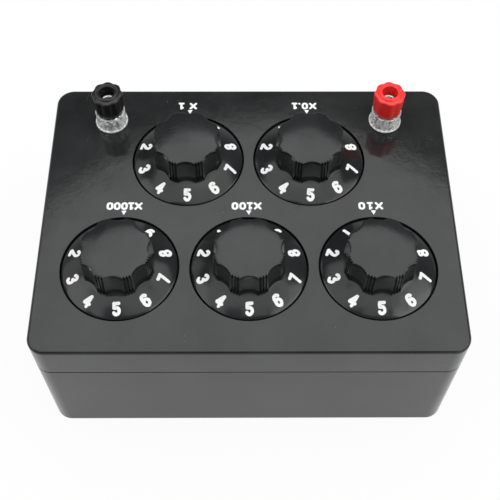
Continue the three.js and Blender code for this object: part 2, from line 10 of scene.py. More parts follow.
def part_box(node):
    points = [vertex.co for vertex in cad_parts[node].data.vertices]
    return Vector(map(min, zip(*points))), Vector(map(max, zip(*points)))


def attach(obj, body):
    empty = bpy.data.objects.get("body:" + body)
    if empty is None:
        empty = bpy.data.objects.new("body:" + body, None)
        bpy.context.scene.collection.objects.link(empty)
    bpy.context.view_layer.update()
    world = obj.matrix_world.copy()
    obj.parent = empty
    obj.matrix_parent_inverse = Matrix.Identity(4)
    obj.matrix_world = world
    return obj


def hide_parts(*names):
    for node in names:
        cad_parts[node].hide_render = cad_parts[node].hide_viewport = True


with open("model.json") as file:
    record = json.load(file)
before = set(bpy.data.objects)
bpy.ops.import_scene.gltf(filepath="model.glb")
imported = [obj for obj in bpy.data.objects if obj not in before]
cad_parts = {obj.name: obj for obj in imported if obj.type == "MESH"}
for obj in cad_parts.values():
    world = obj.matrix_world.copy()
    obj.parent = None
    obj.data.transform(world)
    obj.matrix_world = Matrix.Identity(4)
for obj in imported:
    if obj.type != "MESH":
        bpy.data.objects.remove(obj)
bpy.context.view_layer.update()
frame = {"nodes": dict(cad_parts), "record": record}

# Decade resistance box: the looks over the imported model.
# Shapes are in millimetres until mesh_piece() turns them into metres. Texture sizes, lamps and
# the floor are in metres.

MM = 0.001
FULL_TURN = 2 * math.pi
QUARTER_TURN = FULL_TURN / 4


def box_mm(node):
    """Lowest and highest corner of a CAD node, in millimetres."""
    low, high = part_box(node)
    return low / MM, high / MM


def middle(node):
    """Where a CAD node stands on the panel."""
    low, high = box_mm(node)
    return (low.x + high.x) / 2, (low.y + high.y) / 2


# Repeated parts, named in the frame's words
DIALS = ["thousands", "hundreds", "tens", "units", "tenths"]
TERMINALS = ["black", "red"]
DIAL_PLACES = [middle(f"{name}_knob") for name in DIALS]
TERMINAL_PLACES = [middle(f"{name}_terminal_insulator") for name in TERMINALS]
SCREW_PLACES = [middle(f"case_screw_{i + 1}") for i in range(4)]

# Levels and sizes read from the frame
LID_LOW, LID_HIGH = box_mm("lid_panel")
KNOB_LOW, KNOB_HIGH = box_mm("thousands_knob")
PANEL_TOP = LID_HIGH.z
CASE_WIDTH = LID_HIGH.x - LID_LOW.x
CASE_DEPTH = LID_HIGH.y - LID_LOW.y
KNOB_BOTTOM = KNOB_LOW.z
GRIP_TOP = KNOB_HIGH.z
SKIRT_RADIUS = (KNOB_HIGH.x - KNOB_LOW.x) / 2
RIM_TOP = PANEL_TOP - 0.5
SKIRT_TOP = PANEL_TOP + 2.5


# Meshes

WELD_DISTANCE = 1e-7  # metres
ROUND_SIDES = 160
POINT_RADIUS = 0.02  # of a ring that closes a face at its middle
SHARP_ANGLE = 32  # degrees
EDGE_STEPS = 6


def add_object(name, data):
    thing = bpy.data.objects.new(name, data)
    bpy.context.scene.collection.objects.link(thing)
    return thing


def mesh_piece(name, points, faces):
    """A mesh object from points in millimetres."""
    mesh = bpy.data.meshes.new(name)
    mesh.from_pydata([Vector(p) * MM for p in points], [], faces)
    mesh.validate()
    piece = add_object(name, mesh)
    work = bmesh.new()
    work.from_mesh(mesh)
    bmesh.ops.remove_doubles(work, verts=work.verts, dist=WELD_DISTANCE)
    bmesh.ops.recalc_face_normals(work, faces=work.faces)
    work.to_mesh(mesh)
    work.free()
    return piece


def loft(rings, closed=False):
    """Points and faces of the skin through rings of equal count, capped unless closed."""
    count = len(rings[0])
    points = [p for ring in rings for p in ring]
    faces = []
    for j in range(len(rings) if closed else len(rings) - 1):
        low, high = j * count, ((j + 1) % len(rings)) * count
        for i in range(count):
            k = (i + 1) % count
            faces.append((low + i, low + k, high + k, high + i))
    if not closed:
        faces.append(tuple(reversed(range(count))))
        faces.append(tuple(range(len(points) - count, len(points))))
    return points, faces


def polar(centre, radius, angle, height):
    """A point at a radius and an angle round a centre."""
    return (
        centre[0] + radius * math.cos(angle),
        centre[1] + radius * math.sin(angle),
        height,
    )


def circle(radius, height, sides=ROUND_SIDES, centre=(0, 0)):
    return [polar(centre, radius, FULL_TURN * i / sides, height) for i in range(sides)]


def revolved(profile, sides=ROUND_SIDES, centre=(0, 0), closed=False):
    return loft([circle(r, z, sides, centre) for r, z in profile], closed)


def quarter_round(radius, steps=EDGE_STEPS):
    """(inset, drop) pairs of a convex quarter round, from the side to the top."""
    return [
        (radius * (1 - math.cos(a)), radius * (1 - math.sin(a)))
        for a in (QUARTER_TURN * i / steps for i in range(steps + 1))
    ]


def combine(target, others, operation):
    """Joins each other piece to the target, or cuts it away, and removes the others."""
    for other in others:
        modifier = target.modifiers.new("combine", "BOOLEAN")
        modifier.operation = operation
        modifier.solver = "EXACT"
        modifier.object = other
    graph = bpy.context.evaluated_depsgraph_get()
    graph.update()
    result = bpy.data.meshes.new_from_object(target.evaluated_get(graph))
    target.modifiers.clear()
    target.data = result
    result.name = target.name
    for other in others:
        bpy.data.objects.remove(other)


def smooth(piece, degrees=SHARP_ANGLE, weighted=True):
    """Smooth shading, with edges above an angle left sharp."""
    mesh = piece.data
    mesh.polygons.foreach_set("use_smooth", [True] * len(mesh.polygons))
    mesh.set_sharp_from_angle(angle=math.radians(degrees))
    if weighted:
        piece.modifiers.new("normals", "WEIGHTED_NORMAL").keep_sharp = True
    return piece


def dress(piece, material, body, replaces=()):
    """Gives a piece its material and fixes it to a body, in the place of CAD nodes if named."""
    piece.data.materials.clear()
    piece.data.materials.append(material)
    if replaces:
        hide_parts(*replaces)
    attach(piece, body)


# Shader nodes

NOISE_LOW, NOISE_HIGH = 0.3, 0.7  # between which a noise mostly lies
SCRATCH_EDGE = 0.03
SPECK_CORE = 0.6  # share of a speck's radius that is full


def feed(tree, socket, value):
    """Links a value to a socket, or sets it where it is a plain one."""
    if isinstance(value, bpy.types.NodeSocket):
        tree.links.new(value, socket)
    else:
        socket.default_value = value


def tree_node(tree, kind, **values):
    """A node with its properties and its inputs set, inputs by name or by number as i0, i1."""
    node = tree.nodes.new(kind)
    for key, value in values.items():
        if hasattr(node, key) and not isinstance(value, bpy.types.NodeSocket):
            setattr(node, key, value)
        elif key[0] == "i" and key[1:].isdigit():
            feed(tree, node.inputs[int(key[1:])], value)
        else:
            feed(tree, node.inputs[key.replace("_", " ")], value)
    return node


def new_material(name, **sockets):
    """A material, its tree, its Principled shader and the object coordinate."""
    material = bpy.data.materials.new(name)
    material.use_nodes = True
    tree = material.node_tree
    shader = tree.nodes["Principled BSDF"]
    for key, value in sockets.items():
        shader.inputs[key.replace("_", " ")].default_value = value
    coordinate = tree.nodes.new("ShaderNodeTexCoord").outputs["Object"]
    return material, tree, shader, coordinate


def finish_shader(tree, shader, tint, rough, height, relief, strength=1.0):
    """Links colour, roughness and a bump whose relief is in millimetres."""
    bump = tree_node(tree, "ShaderNodeBump", Strength=strength, Distance=relief * MM, Height=height)
    feed(tree, shader.inputs["Base Color"], tint)
    feed(tree, shader.inputs["Roughness"], rough)
    feed(tree, shader.inputs["Normal"], bump.outputs[0])


def noise(tree, coordinate, scale, detail=3.0, roughness=0.55):
    return tree_node(tree, "ShaderNodeTexNoise", Vector=coordinate, Scale=scale, Detail=detail,
                     Roughness=roughness).outputs["Fac"]


def stretched(tree, coordinate, scale):
    return tree_node(tree, "ShaderNodeMapping", Vector=coordinate, Scale=scale).outputs[0]


def remap(tree, value, low, high, to_low=0.0, to_high=1.0):
    return tree_node(tree, "ShaderNodeMapRange", i0=value, i1=low, i2=high, i3=to_low,
                     i4=to_high).outputs[0]


def spread(tree, value, to_low=0.0, to_high=1.0):
    """A noise stretched over a range."""
    return remap(tree, value, NOISE_LOW, NOISE_HIGH, to_low, to_high)


def combined(tree, operation, first, *others):
    """The first value with each of the others in turn, by a math operation."""
    for other in others:
        node = tree_node(tree, "ShaderNodeMath", operation=operation, i0=first, i1=other)
        first = node.outputs[0]
    return first


def times(tree, first, second):
    return combined(tree, "MULTIPLY", first, second)


def blend(tree, factor, first, second):
    node = tree.nodes.new("ShaderNodeMix")
    node.data_type = "RGBA"
    for index, value in ((0, factor), (6, first), (7, second)):
        feed(tree, node.inputs[index], value)
    return node.outputs[2]


def coordinate_parts(tree, vector):
    return tree_node(tree, "ShaderNodeSeparateXYZ", Vector=vector).outputs


def first_channel(tree, tint):
    return tree_node(tree, "ShaderNodeSeparateColor", i0=tint).outputs[0]


def between(tree, value, low, high, fade):
    """A mask that is one between two lengths in millimetres and fades out past them."""
    rising = remap(tree, value, (low - fade) * MM, low * MM)
    return times(tree, rising, remap(tree, value, (high + fade) * MM, high * MM))


def scratches(tree, coordinate, angle, length, width, threshold):
    """A mask of fine straight scratches that run at an angle in the XY plane."""
    turned = tree_node(tree, "ShaderNodeMapping", vector_type="TEXTURE", Vector=coordinate,
                       Rotation=(0, 0, angle), Scale=(length, width, width)).outputs[0]
    lines = noise(tree, turned, scale=1.0, detail=1.0, roughness=0.4)
    return remap(tree, lines, threshold, threshold + SCRATCH_EDGE)


def specks(tree, coordinate, spacing, radius, share):
    """A mask of small round specks, on a share of the cells."""
    cells = tree_node(tree, "ShaderNodeTexVoronoi", Vector=coordinate, Scale=1 / spacing).outputs
    spot = remap(tree, cells["Distance"], radius / spacing, SPECK_CORE * radius / spacing)
    chosen = combined(tree, "LESS_THAN", first_channel(tree, cells["Color"]), share)
    return times(tree, spot, chosen)


def colour(r, g, b):
    return (r, g, b, 1.0)


def scaled(rgba, factor):
    return colour(*(min(1.0, c * factor) for c in rgba[:3]))


# Materials

SCRATCHES = [  # angle, length, width and threshold of each set
    (0.35, 0.02, 0.00022, 0.78),
    (-0.9, 0.014, 0.0002, 0.79),
    (1.35, 0.018, 0.0002, 0.79),
]
SCRATCH_PALENESS = 0.25
SCRATCH_ROUGHNESS = 0.3
SCRATCH_DEPTH = 0.5
DUST_COLOUR = colour(0.32, 0.33, 0.33)
DUST_ROUGHNESS = 0.3
SMEAR_RANGE = (0.82, 1.2)  # of the roughness
PEEL_RELIEF = 0.012
PEEL_WAVES = 3.0  # height of the wide waves over the fine ones
# Painted highlight on upright walls: a lighter colour that stands for the light they reflect; the
# walls are rougher there too
WALL_TILTS = (0.4, 0.2)  # upward share of the normal where a wall starts and is fully upright
WALL_RUB_ROUGHNESS = 0.4
# Painted shade: a darker, matt surface deep in the dial wells, away from the case's sides
PAINTED_SHADE_FADE = 0.4
PAINTED_SHADE_INSET = 5.0  # from the case's sides
PAINTED_SHADE_INSET_FADE = 1.0
PAINTED_SHADE_FACTOR = 0.25
RECESS_ROUGHNESS = 0.7
TARNISH_BAND = (0.45, 0.75)  # of the cloud's noise, where the tarnish starts and is full
TARNISH_SHADE = 0.7
CLOUD_BAND = (0.3, 0.8)
CLOUD_RANGE = (0.7, 1.4)  # of the roughness
TOOL_MARKS = (0.004, 0.0006)  # length and pitch
TOOL_MARK_ROUGHNESS = 0.08
METAL_RELIEF = 0.01
PIT_DEPTH = 1.5
THIN_PAINT_BAND = (0.58, 0.75)
THIN_PAINT_SHADE = 0.7
BLOTCH_BAND, BLOTCH_COVER = (0.6, 0.78), 0.7
# Painted highlights on the clear cups: more white cover where the view is slanted, at the foot and
# at the rim
CUP_SIDE_BAND, CUP_EDGE_HIGHLIGHT = (0.55, 0.95), 0.7  # of the view's slant
CUP_FOOT_BAND, CUP_FOOT_HIGHLIGHT = (1.3, 1.1), 0.6  # above the panel, where it starts and is full
CUP_RIM_BAND, CUP_RIM_HIGHLIGHT = (7.2, 7.4), 0.5


def moulded_plastic(name, base, roughness, dust=0.25, wear=0.35, mottle=0.25, wall_light_and_rub=None,
                    painted_shade_below=None):
    """Moulded plastic: cloudy colour, fine scratches, a little dust and a faint orange peel.

    Upright walls can get a lighter colour between two heights, given as (low, high, fade, colour):
    a painted highlight that stands for the light they reflect, fading out towards their foot and
    top, on walls that are also rougher there. Below a given height, away from the case's sides, the
    surface can be matt and darkened as painted shade.
    """
    material, tree, shader, coordinate = new_material(name)
    cloud = noise(tree, coordinate, scale=45.0, detail=4.0)
    tint = blend(tree, spread(tree, cloud), scaled(base, 1 - mottle), scaled(base, 1 + mottle))
    lines = combined(tree, "MAXIMUM", *(scratches(tree, coordinate, *kind) for kind in SCRATCHES))
    grains = specks(tree, coordinate, spacing=0.0035, radius=0.00022, share=0.3)
    pale = combined(tree, "MAXIMUM", times(tree, lines, wear * SCRATCH_PALENESS),
                    times(tree, grains, dust))
    across, along, level = coordinate_parts(tree, coordinate)
    # Painted highlight: a lighter colour on upright walls between two heights, fading out past them
    if wall_light_and_rub:
        low, high, fade, painted_wall_light = wall_light_and_rub
        normal = tree.nodes["Texture Coordinate"].outputs["Normal"]
        upward = coordinate_parts(tree, normal)["Z"]
        wall = remap(tree, combined(tree, "ABSOLUTE", upward, 0.0), *WALL_TILTS)
        wall = times(tree, wall, between(tree, level, low, high, fade))
        tint = blend(tree, wall, tint, painted_wall_light)
    tint = blend(tree, pale, tint, DUST_COLOUR)
    # Painted shade: darker and matt below a height, inside the wells
    if painted_shade_below:
        deep = remap(tree, level, painted_shade_below * MM, (painted_shade_below - PAINTED_SHADE_FADE) * MM)
        inside = [
            between(tree, axis, PAINTED_SHADE_INSET - size / 2, size / 2 - PAINTED_SHADE_INSET, PAINTED_SHADE_INSET_FADE)
            for axis, size in ((across, CASE_WIDTH), (along, CASE_DEPTH))
        ]
        deep = times(tree, deep, times(tree, *inside))
        tint = blend(tree, deep, tint, scaled(base, PAINTED_SHADE_FACTOR))
    smear = noise(tree, coordinate, scale=120.0, detail=5.0, roughness=0.6)
    rough = spread(tree, smear, *(roughness * share for share in SMEAR_RANGE))
    rough = combined(tree, "ADD", rough, times(tree, lines, wear * SCRATCH_ROUGHNESS),
                     times(tree, grains, DUST_ROUGHNESS))
    if wall_light_and_rub:
        rough = combined(tree, "MAXIMUM", rough, times(tree, wall, WALL_RUB_ROUGHNESS))
    if painted_shade_below:
        rough = combined(tree, "MAXIMUM", rough, times(tree, deep, RECESS_ROUGHNESS))
    waves = times(tree, noise(tree, coordinate, scale=90.0, detail=2.0), PEEL_WAVES)
    height = combined(tree, "ADD", noise(tree, coordinate, scale=700.0), waves)
    height = combined(tree, "SUBTRACT", height, times(tree, lines, SCRATCH_DEPTH))
    finish_shader(tree, shader, tint, rough, height, PEEL_RELIEF)
    return material


def worked_metal(name, base, roughness, tarnish=None):
    """Metal with fine tool marks, cloudy tarnish and small pits."""
    material, tree, shader, coordinate = new_material(name, Metallic=1.0)
    cloud = noise(tree, coordinate, scale=180.0, detail=5.0, roughness=0.6)
    tarnish = tarnish or scaled(base, TARNISH_SHADE)
    stained = blend(tree, remap(tree, cloud, *TARNISH_BAND), base, tarnish)
    length, pitch = TOOL_MARKS
    marks = stretched(tree, coordinate, (1 / length, 1 / length, 1 / pitch))
    tooled = noise(tree, marks, scale=3.0, detail=2.0)
    clouded = remap(tree, cloud, *CLOUD_BAND, *(roughness * share for share in CLOUD_RANGE))
    rough = combined(tree, "ADD", clouded, spread(tree, tooled, 0.0, TOOL_MARK_ROUGHNESS))
    pits = specks(tree, coordinate, spacing=0.0012, radius=0.0001, share=0.3)
    height = combined(tree, "SUBTRACT", tooled, times(tree, pits, PIT_DEPTH))
    finish_shader(tree, shader, stained, rough, height, METAL_RELIEF)
    return material


def marking_paint(name, base):
    """White marking paint: uneven cover, a chalky surface and grey where it is thin."""
    material, tree, shader, coordinate = new_material(name)
    cover = noise(tree, coordinate, scale=1500.0, detail=4.0, roughness=0.65)
    thin = remap(tree, cover, *THIN_PAINT_BAND)
    tint = blend(tree, thin, base, scaled(base, THIN_PAINT_SHADE))
    finish_shader(tree, shader, tint, spread(tree, cover, 0.5, 0.8), cover, relief=0.03)
    return material


def clear_plastic(name):
    """Clear moulded plastic: see-through face on, blotchy, and pale at its edges, foot and rim as
    painted highlights.
    """
    material, tree, shader, coordinate = new_material(name, IOR=1.49)
    flow = noise(tree, coordinate, scale=260.0)
    cells = tree_node(tree, "ShaderNodeTexVoronoi", Scale=1100.0,
                      Vector=stretched(tree, coordinate, (1.0, 1.0, 0.45)))
    blotch = first_channel(tree, cells.outputs["Color"])
    tint = blend(tree, blotch, colour(0.78, 0.81, 0.81), colour(0.96, 0.97, 0.96))
    finish_shader(tree, shader, tint, spread(tree, flow, 0.05, 0.14), flow, relief=0.08)
    facing = tree_node(tree, "ShaderNodeLayerWeight", Blend=0.5).outputs["Facing"]
    level = coordinate_parts(tree, coordinate)["Z"]
    foot_band, rim_band = (
        [(PANEL_TOP + height) * MM for height in band] for band in (CUP_FOOT_BAND, CUP_RIM_BAND)
    )
    # side, foot and rim are painted highlights: white cover standing for bright reflections
    side, blotches, foot, rim = (
        remap(tree, value, *band, 0.0, cover)
        for value, band, cover in (
            (facing, CUP_SIDE_BAND, CUP_EDGE_HIGHLIGHT),
            (blotch, BLOTCH_BAND, BLOTCH_COVER),
            (level, foot_band, CUP_FOOT_HIGHLIGHT),
            (level, rim_band, CUP_RIM_HIGHLIGHT),
        )
    )
    ends = combined(tree, "ADD", foot, rim)
    feed(tree, shader.inputs["Alpha"], combined(tree, "ADD", side, blotches, ends))
    return material


def phenolic_board(name):
    """Brown laminate with paper fibres."""
    material, tree, shader, coordinate = new_material(name)
    grain = noise(tree, stretched(tree, coordinate, (200, 2200, 2200)), scale=1.0, detail=4.0)
    tint = blend(tree, grain, colour(0.11, 0.04, 0.014), colour(0.24, 0.10, 0.04))
    rough = spread(tree, grain, 0.4, 0.65)
    finish_shader(tree, shader, tint, rough, grain, relief=0.02, strength=0.6)
    return material


def lacquer(name, base, band):
    """Lacquered resistor bodies, with darker flow of the coat."""
    material, tree, shader, coordinate = new_material(name)
    flow = noise(tree, coordinate, scale=400.0, detail=4.0)
    tint = blend(tree, flow, base, band)
    rough = spread(tree, flow, 0.3, 0.5)
    finish_shader(tree, shader, tint, rough, flow, relief=0.04, strength=0.8)
    return material


CASE_COLOUR = colour(0.0165, 0.0173, 0.0175)
# Painted highlight on the grips' upright walls, fading out towards their foot and top
GRIP_WALL_LIGHT_AND_RUB = (SKIRT_TOP + 4.0, GRIP_TOP - 2.8, 2.2, colour(0.027, 0.028, 0.029))
# Painted shade in the dial wells, below this height
WELL_PAINTED_SHADE_LEVEL = PANEL_TOP - 0.8

CASE_BLACK = moulded_plastic("case_black", CASE_COLOUR, 0.10, mottle=0.35)
LID_BLACK = moulded_plastic("lid_black", CASE_COLOUR, 0.10, mottle=0.35, painted_shade_below=WELL_PAINTED_SHADE_LEVEL)
KNOB_BLACK = moulded_plastic("knob_black", colour(0.0150, 0.0162, 0.0165), 0.14, dust=0.15,
                             wear=0.25, mottle=0.5, wall_light_and_rub=GRIP_WALL_LIGHT_AND_RUB)
CAP_BLACK = moulded_plastic("cap_black", colour(0.010, 0.010, 0.011), 0.24, dust=0.2, wear=0.3)
CAP_RED = moulded_plastic("cap_red", colour(0.93, 0.034, 0.028), 0.26, dust=0.05, wear=0.2,
                          mottle=0.1)
WIRE_RED = moulded_plastic("wire_insulation", colour(0.33, 0.02, 0.015), 0.45, dust=0.1, wear=0.1)
CLEAR = clear_plastic("clear_plastic")
NICKEL = worked_metal("nickel", colour(0.86, 0.85, 0.83), 0.2, colour(0.74, 0.73, 0.7))
ZINC_STEEL = worked_metal("zinc_steel", colour(0.62, 0.64, 0.66), 0.3, colour(0.45, 0.45, 0.42))
SHAFT_STEEL = worked_metal("shaft_steel", colour(0.56, 0.56, 0.57), 0.25)
BRASS = worked_metal("brass", colour(0.72, 0.52, 0.22), 0.25, colour(0.48, 0.32, 0.12))
BRONZE = worked_metal("bronze", colour(0.66, 0.38, 0.2), 0.3)
PHENOLIC = phenolic_board("phenolic")
RESISTOR = lacquer("resistor_coat", colour(0.05, 0.22, 0.36), colour(0.03, 0.13, 0.24))
PAINT = marking_paint("marking_white", colour(0.95, 0.95, 0.94))
SLOT_MATERIALS = {
    "case_black": CASE_BLACK,
    "knob_black": KNOB_BLACK,
    "cap_black": CAP_BLACK,
    "cap_red": CAP_RED,
    "clear_plastic": CLEAR,
    "nickel": NICKEL,
    "zinc_steel": ZINC_STEEL,
    "shaft_steel": SHAFT_STEEL,
    "brass": BRASS,
    "bronze": BRONZE,
    "phenolic": PHENOLIC,
    "resistor_coat": RESISTOR,
    "wire_insulation": WIRE_RED,
}


def finish_frame():
    """Every CAD node carries the material of its slot, also where a piece replaces it."""
    slots = {part["node"]: part["material_slot"] for part in frame["record"]["subparts"]}
    for name, node in frame["nodes"].items():
        node.data.materials.clear()
        node.data.materials.append(SLOT_MATERIALS[slots[name]])


# Case

SEAM_HEIGHT = 50.0
SEAM_GAP = 0.3
SEAM_EDGE = 0.25
SEAM_EDGE_STEPS = 3
CORNER_RADIUS = 7.0
CORNER_LEAST_RADIUS = 0.2
CORNER_STEPS = 16
LID_EDGE = 1.2
BASE_EDGE = 1.0
WALL = 3.0
PANEL_THICKNESS = 3.0
BOSS_RADIUS = 4.4
COLUMN_RADIUS = 5.5
COLUMN_FOOT = 1.0  # above the case's underside, inside the floor
COLUMN_GAP = 0.1  # from a column or a boss to the seam
PILOT_RADIUS = 1.4
SCREW_REACH = 12.0  # of the pilot holes, above the seam
SHANK_HOLE_RADIUS = 1.8
COUNTERBORE_RADIUS = 3.8
COUNTERBORE_WEB = 12.0  # from the counterbore's end to the seam
ROD_SIDES = 48
OVERRUN = 1.0  # how far a cutter passes a face, or a boss runs into one

# Wells and holes in the panel
DIAL_GAP = 0.7
WELL_DEPTH = 4.0
WELL_FLOOR = 2.5
WELL_WALL = 2.2
WELL_EDGE = 0.12
WELL_EDGE_STEPS = 4
BUSH_HOLE_RADIUS = 5.0
NECK_HOLE_RADIUS = 3.5


def rounded_rectangle(inset, height):
    """The case's outline, moved in by inset, as a ring at a height."""
    radius = max(CORNER_RADIUS - inset, CORNER_LEAST_RADIUS)
    x = CASE_WIDTH / 2 - inset - radius
    y = CASE_DEPTH / 2 - inset - radius
    ring = []
    for quarter, corner in enumerate([(x, y), (-x, y), (-x, -y), (x, -y)]):
        for i in range(CORNER_STEPS + 1):
            angle = QUARTER_TURN * (quarter + i / CORNER_STEPS)
            ring.append(polar(corner, radius, angle, height))
    return ring


def block(name, levels):
    """A solid with the case's outline, from (inset, height) pairs."""
    return mesh_piece(name, *loft([rounded_rectangle(inset, height) for inset, height in levels]))


def rod(name, radius, bottom, top, centre, sides=ROD_SIDES):
    return mesh_piece(name, *revolved([(radius, bottom), (radius, top)], sides, centre))


def lid():
    """The panel moulding: rounded top edge, dial wells, screw bosses and terminal holes."""
    seam = SEAM_HEIGHT + SEAM_GAP
    underside = PANEL_TOP - PANEL_THICKNESS
    foot = reversed(quarter_round(SEAM_EDGE, SEAM_EDGE_STEPS))
    levels = [(inset, seam + drop) for inset, drop in foot]
    levels += [(inset, PANEL_TOP - drop) for inset, drop in quarter_round(LID_EDGE)]
    piece = block("lid_moulding", levels)
    combine(piece, [block("cavity", [(WALL, seam - OVERRUN), (WALL, underside)])], "DIFFERENCE")

    well_radius = SKIRT_RADIUS + DIAL_GAP
    well_top = PANEL_TOP - WELL_DEPTH
    well_back = well_top - WELL_FLOOR
    root = underside + OVERRUN
    joined = [
        rod("well_back", well_radius + WELL_WALL, well_back, root, centre, ROUND_SIDES)
        for centre in DIAL_PLACES
    ]
    joined += [
        rod("boss", BOSS_RADIUS, seam + COLUMN_GAP, root, centre) for centre in SCREW_PLACES
    ]
    combine(piece, joined, "UNION")

    mouth = [(well_radius, well_top), (well_radius, PANEL_TOP - WELL_EDGE)]
    for i in range(1, WELL_EDGE_STEPS + 1):
        angle = QUARTER_TURN * i / WELL_EDGE_STEPS
        mouth.append((
            well_radius + WELL_EDGE * (1 - math.cos(angle)),
            PANEL_TOP - WELL_EDGE + WELL_EDGE * math.sin(angle),
        ))
    mouth.append((well_radius + WELL_EDGE, PANEL_TOP + OVERRUN))
    cuts = [mesh_piece("hollow", *revolved(mouth, ROUND_SIDES, centre)) for centre in DIAL_PLACES]
    for name, radius, bottom, top, places in (
        ("bore", BUSH_HOLE_RADIUS, well_back - OVERRUN, well_top + OVERRUN, DIAL_PLACES),
        ("neck", NECK_HOLE_RADIUS, underside - OVERRUN, PANEL_TOP + OVERRUN, TERMINAL_PLACES),
        ("pilot", PILOT_RADIUS, seam - OVERRUN, seam + SCREW_REACH, SCREW_PLACES),
    ):
        cuts += [rod(name, radius, bottom, top, centre) for centre in places]
    combine(piece, cuts, "DIFFERENCE")
    dress(smooth(piece), LID_BLACK, "case", ["lid_panel"])


def base():
    """The deep lower case, with screw columns and counterbored holes."""
    levels = list(reversed(quarter_round(BASE_EDGE)))
    levels += [
        (inset, SEAM_HEIGHT - drop) for inset, drop in quarter_round(SEAM_EDGE, SEAM_EDGE_STEPS)
    ]
    piece = block("base_moulding", levels)
    over_seam = SEAM_HEIGHT + OVERRUN
    combine(piece, [block("cavity", [(WALL, WALL), (WALL, over_seam)])], "DIFFERENCE")
    columns = [
        rod("column", COLUMN_RADIUS, COLUMN_FOOT, SEAM_HEIGHT - COLUMN_GAP, centre)
        for centre in SCREW_PLACES
    ]
    combine(piece, columns, "UNION")
    cuts = []
    for centre in SCREW_PLACES:
        counterbore_end = SEAM_HEIGHT - COUNTERBORE_WEB
        cuts.append(rod("counterbore", COUNTERBORE_RADIUS, -OVERRUN, counterbore_end, centre))
        cuts.append(rod("shank_hole", SHANK_HOLE_RADIUS, 0, over_seam, centre))
    combine(piece, cuts, "DIFFERENCE")
    dress(smooth(piece), CASE_BLACK, "case", ["base_case"])


# Dials

SKIRT_WALL = 2.0
SKIRT_FOOT = 14.0  # radius at which the slope starts
SKIRT_SLOPES = (0.296, 0.422)  # at the foot and at the rim
SKIRT_STEPS = 8
RIM_EDGE = 0.15
KNOB_EDGE_STEPS = 4
KNOB_SHARP_ANGLE = 28
GRIP_RADIUS = 14.1
GRIP_DRAFT = 0.5
GRIP_FOOT_FILLET = 0.25
GRIP_FOOT_STEPS = 3
GRIP_FOOT_MARGIN = 0.5  # from the grip to the skirt's innermost round ring
GRIP_EDGE = 0.25
GRIP_WALL = 1.9
SCALLOPS = 8
SCALLOP_DEPTH = 1.42
SCALLOP_ARC = 7.6
SCALLOP_POINTS = 18
GROOVE_PITCH = 1.2
GROOVE_WIDTH = 0.6
GROOVE_DEPTH = 0.6
GROOVE_OUTLINE = ((-0.5, 0), (-0.15, 1), (0.15, 1), (0.5, 0))  # shares of its width and depth
CROWN = 0.72
CROWN_POWER = 3
CROWN_RINGS = 12
CROWN_POINT_RADIUS = 0.05
HUB_RADIUS = 5.5
HUB_DROP = 0.2  # below the panel's surface
SHAFT_RADIUS = 3.3
SHAFT_DEPTH = 9.3


def grip_outline():
    """(angle, radius) round the fluted grip, one turn, starting at the edge of a scallop."""
    centre = GRIP_RADIUS - SCALLOP_DEPTH + SCALLOP_ARC
    half = math.acos((GRIP_RADIUS**2 + centre**2 - SCALLOP_ARC**2) / (2 * GRIP_RADIUS * centre))
    pitch = FULL_TURN / SCALLOPS
    land = pitch - 2 * half
    outline = []
    for k in range(SCALLOPS):
        scallop = -QUARTER_TURN + k * pitch
        for i in range(SCALLOP_POINTS):
            offset = -half + 2 * half * i / SCALLOP_POINTS
            chord = math.sqrt(SCALLOP_ARC**2 - (centre * math.sin(offset)) ** 2)
            outline.append((scallop + offset, centre * math.cos(offset) - chord))
        outline.append((scallop + half, GRIP_RADIUS))
        for i in (-1, 0, 1):
            groove = scallop + half + land / 2 + i * GROOVE_PITCH / GRIP_RADIUS
            for across, deep in GROOVE_OUTLINE:
                angle = groove + across * GROOVE_WIDTH / GRIP_RADIUS
                outline.append((angle, GRIP_RADIUS - deep * GROOVE_DEPTH))
    return outline


def skirt_level(radius):
    """Height of the skirt's face, which steepens towards the rim."""
    inner, outer = SKIRT_SLOPES
    out = radius - SKIRT_FOOT
    bend = (outer - inner) * out**2 / (2 * (SKIRT_RADIUS - SKIRT_FOOT))
    return SKIRT_TOP - inner * out - bend


def crown_level(radius):
    """Height of the grip's domed top."""
    return GRIP_TOP - CROWN * (radius / GRIP_RADIUS) ** CROWN_POWER


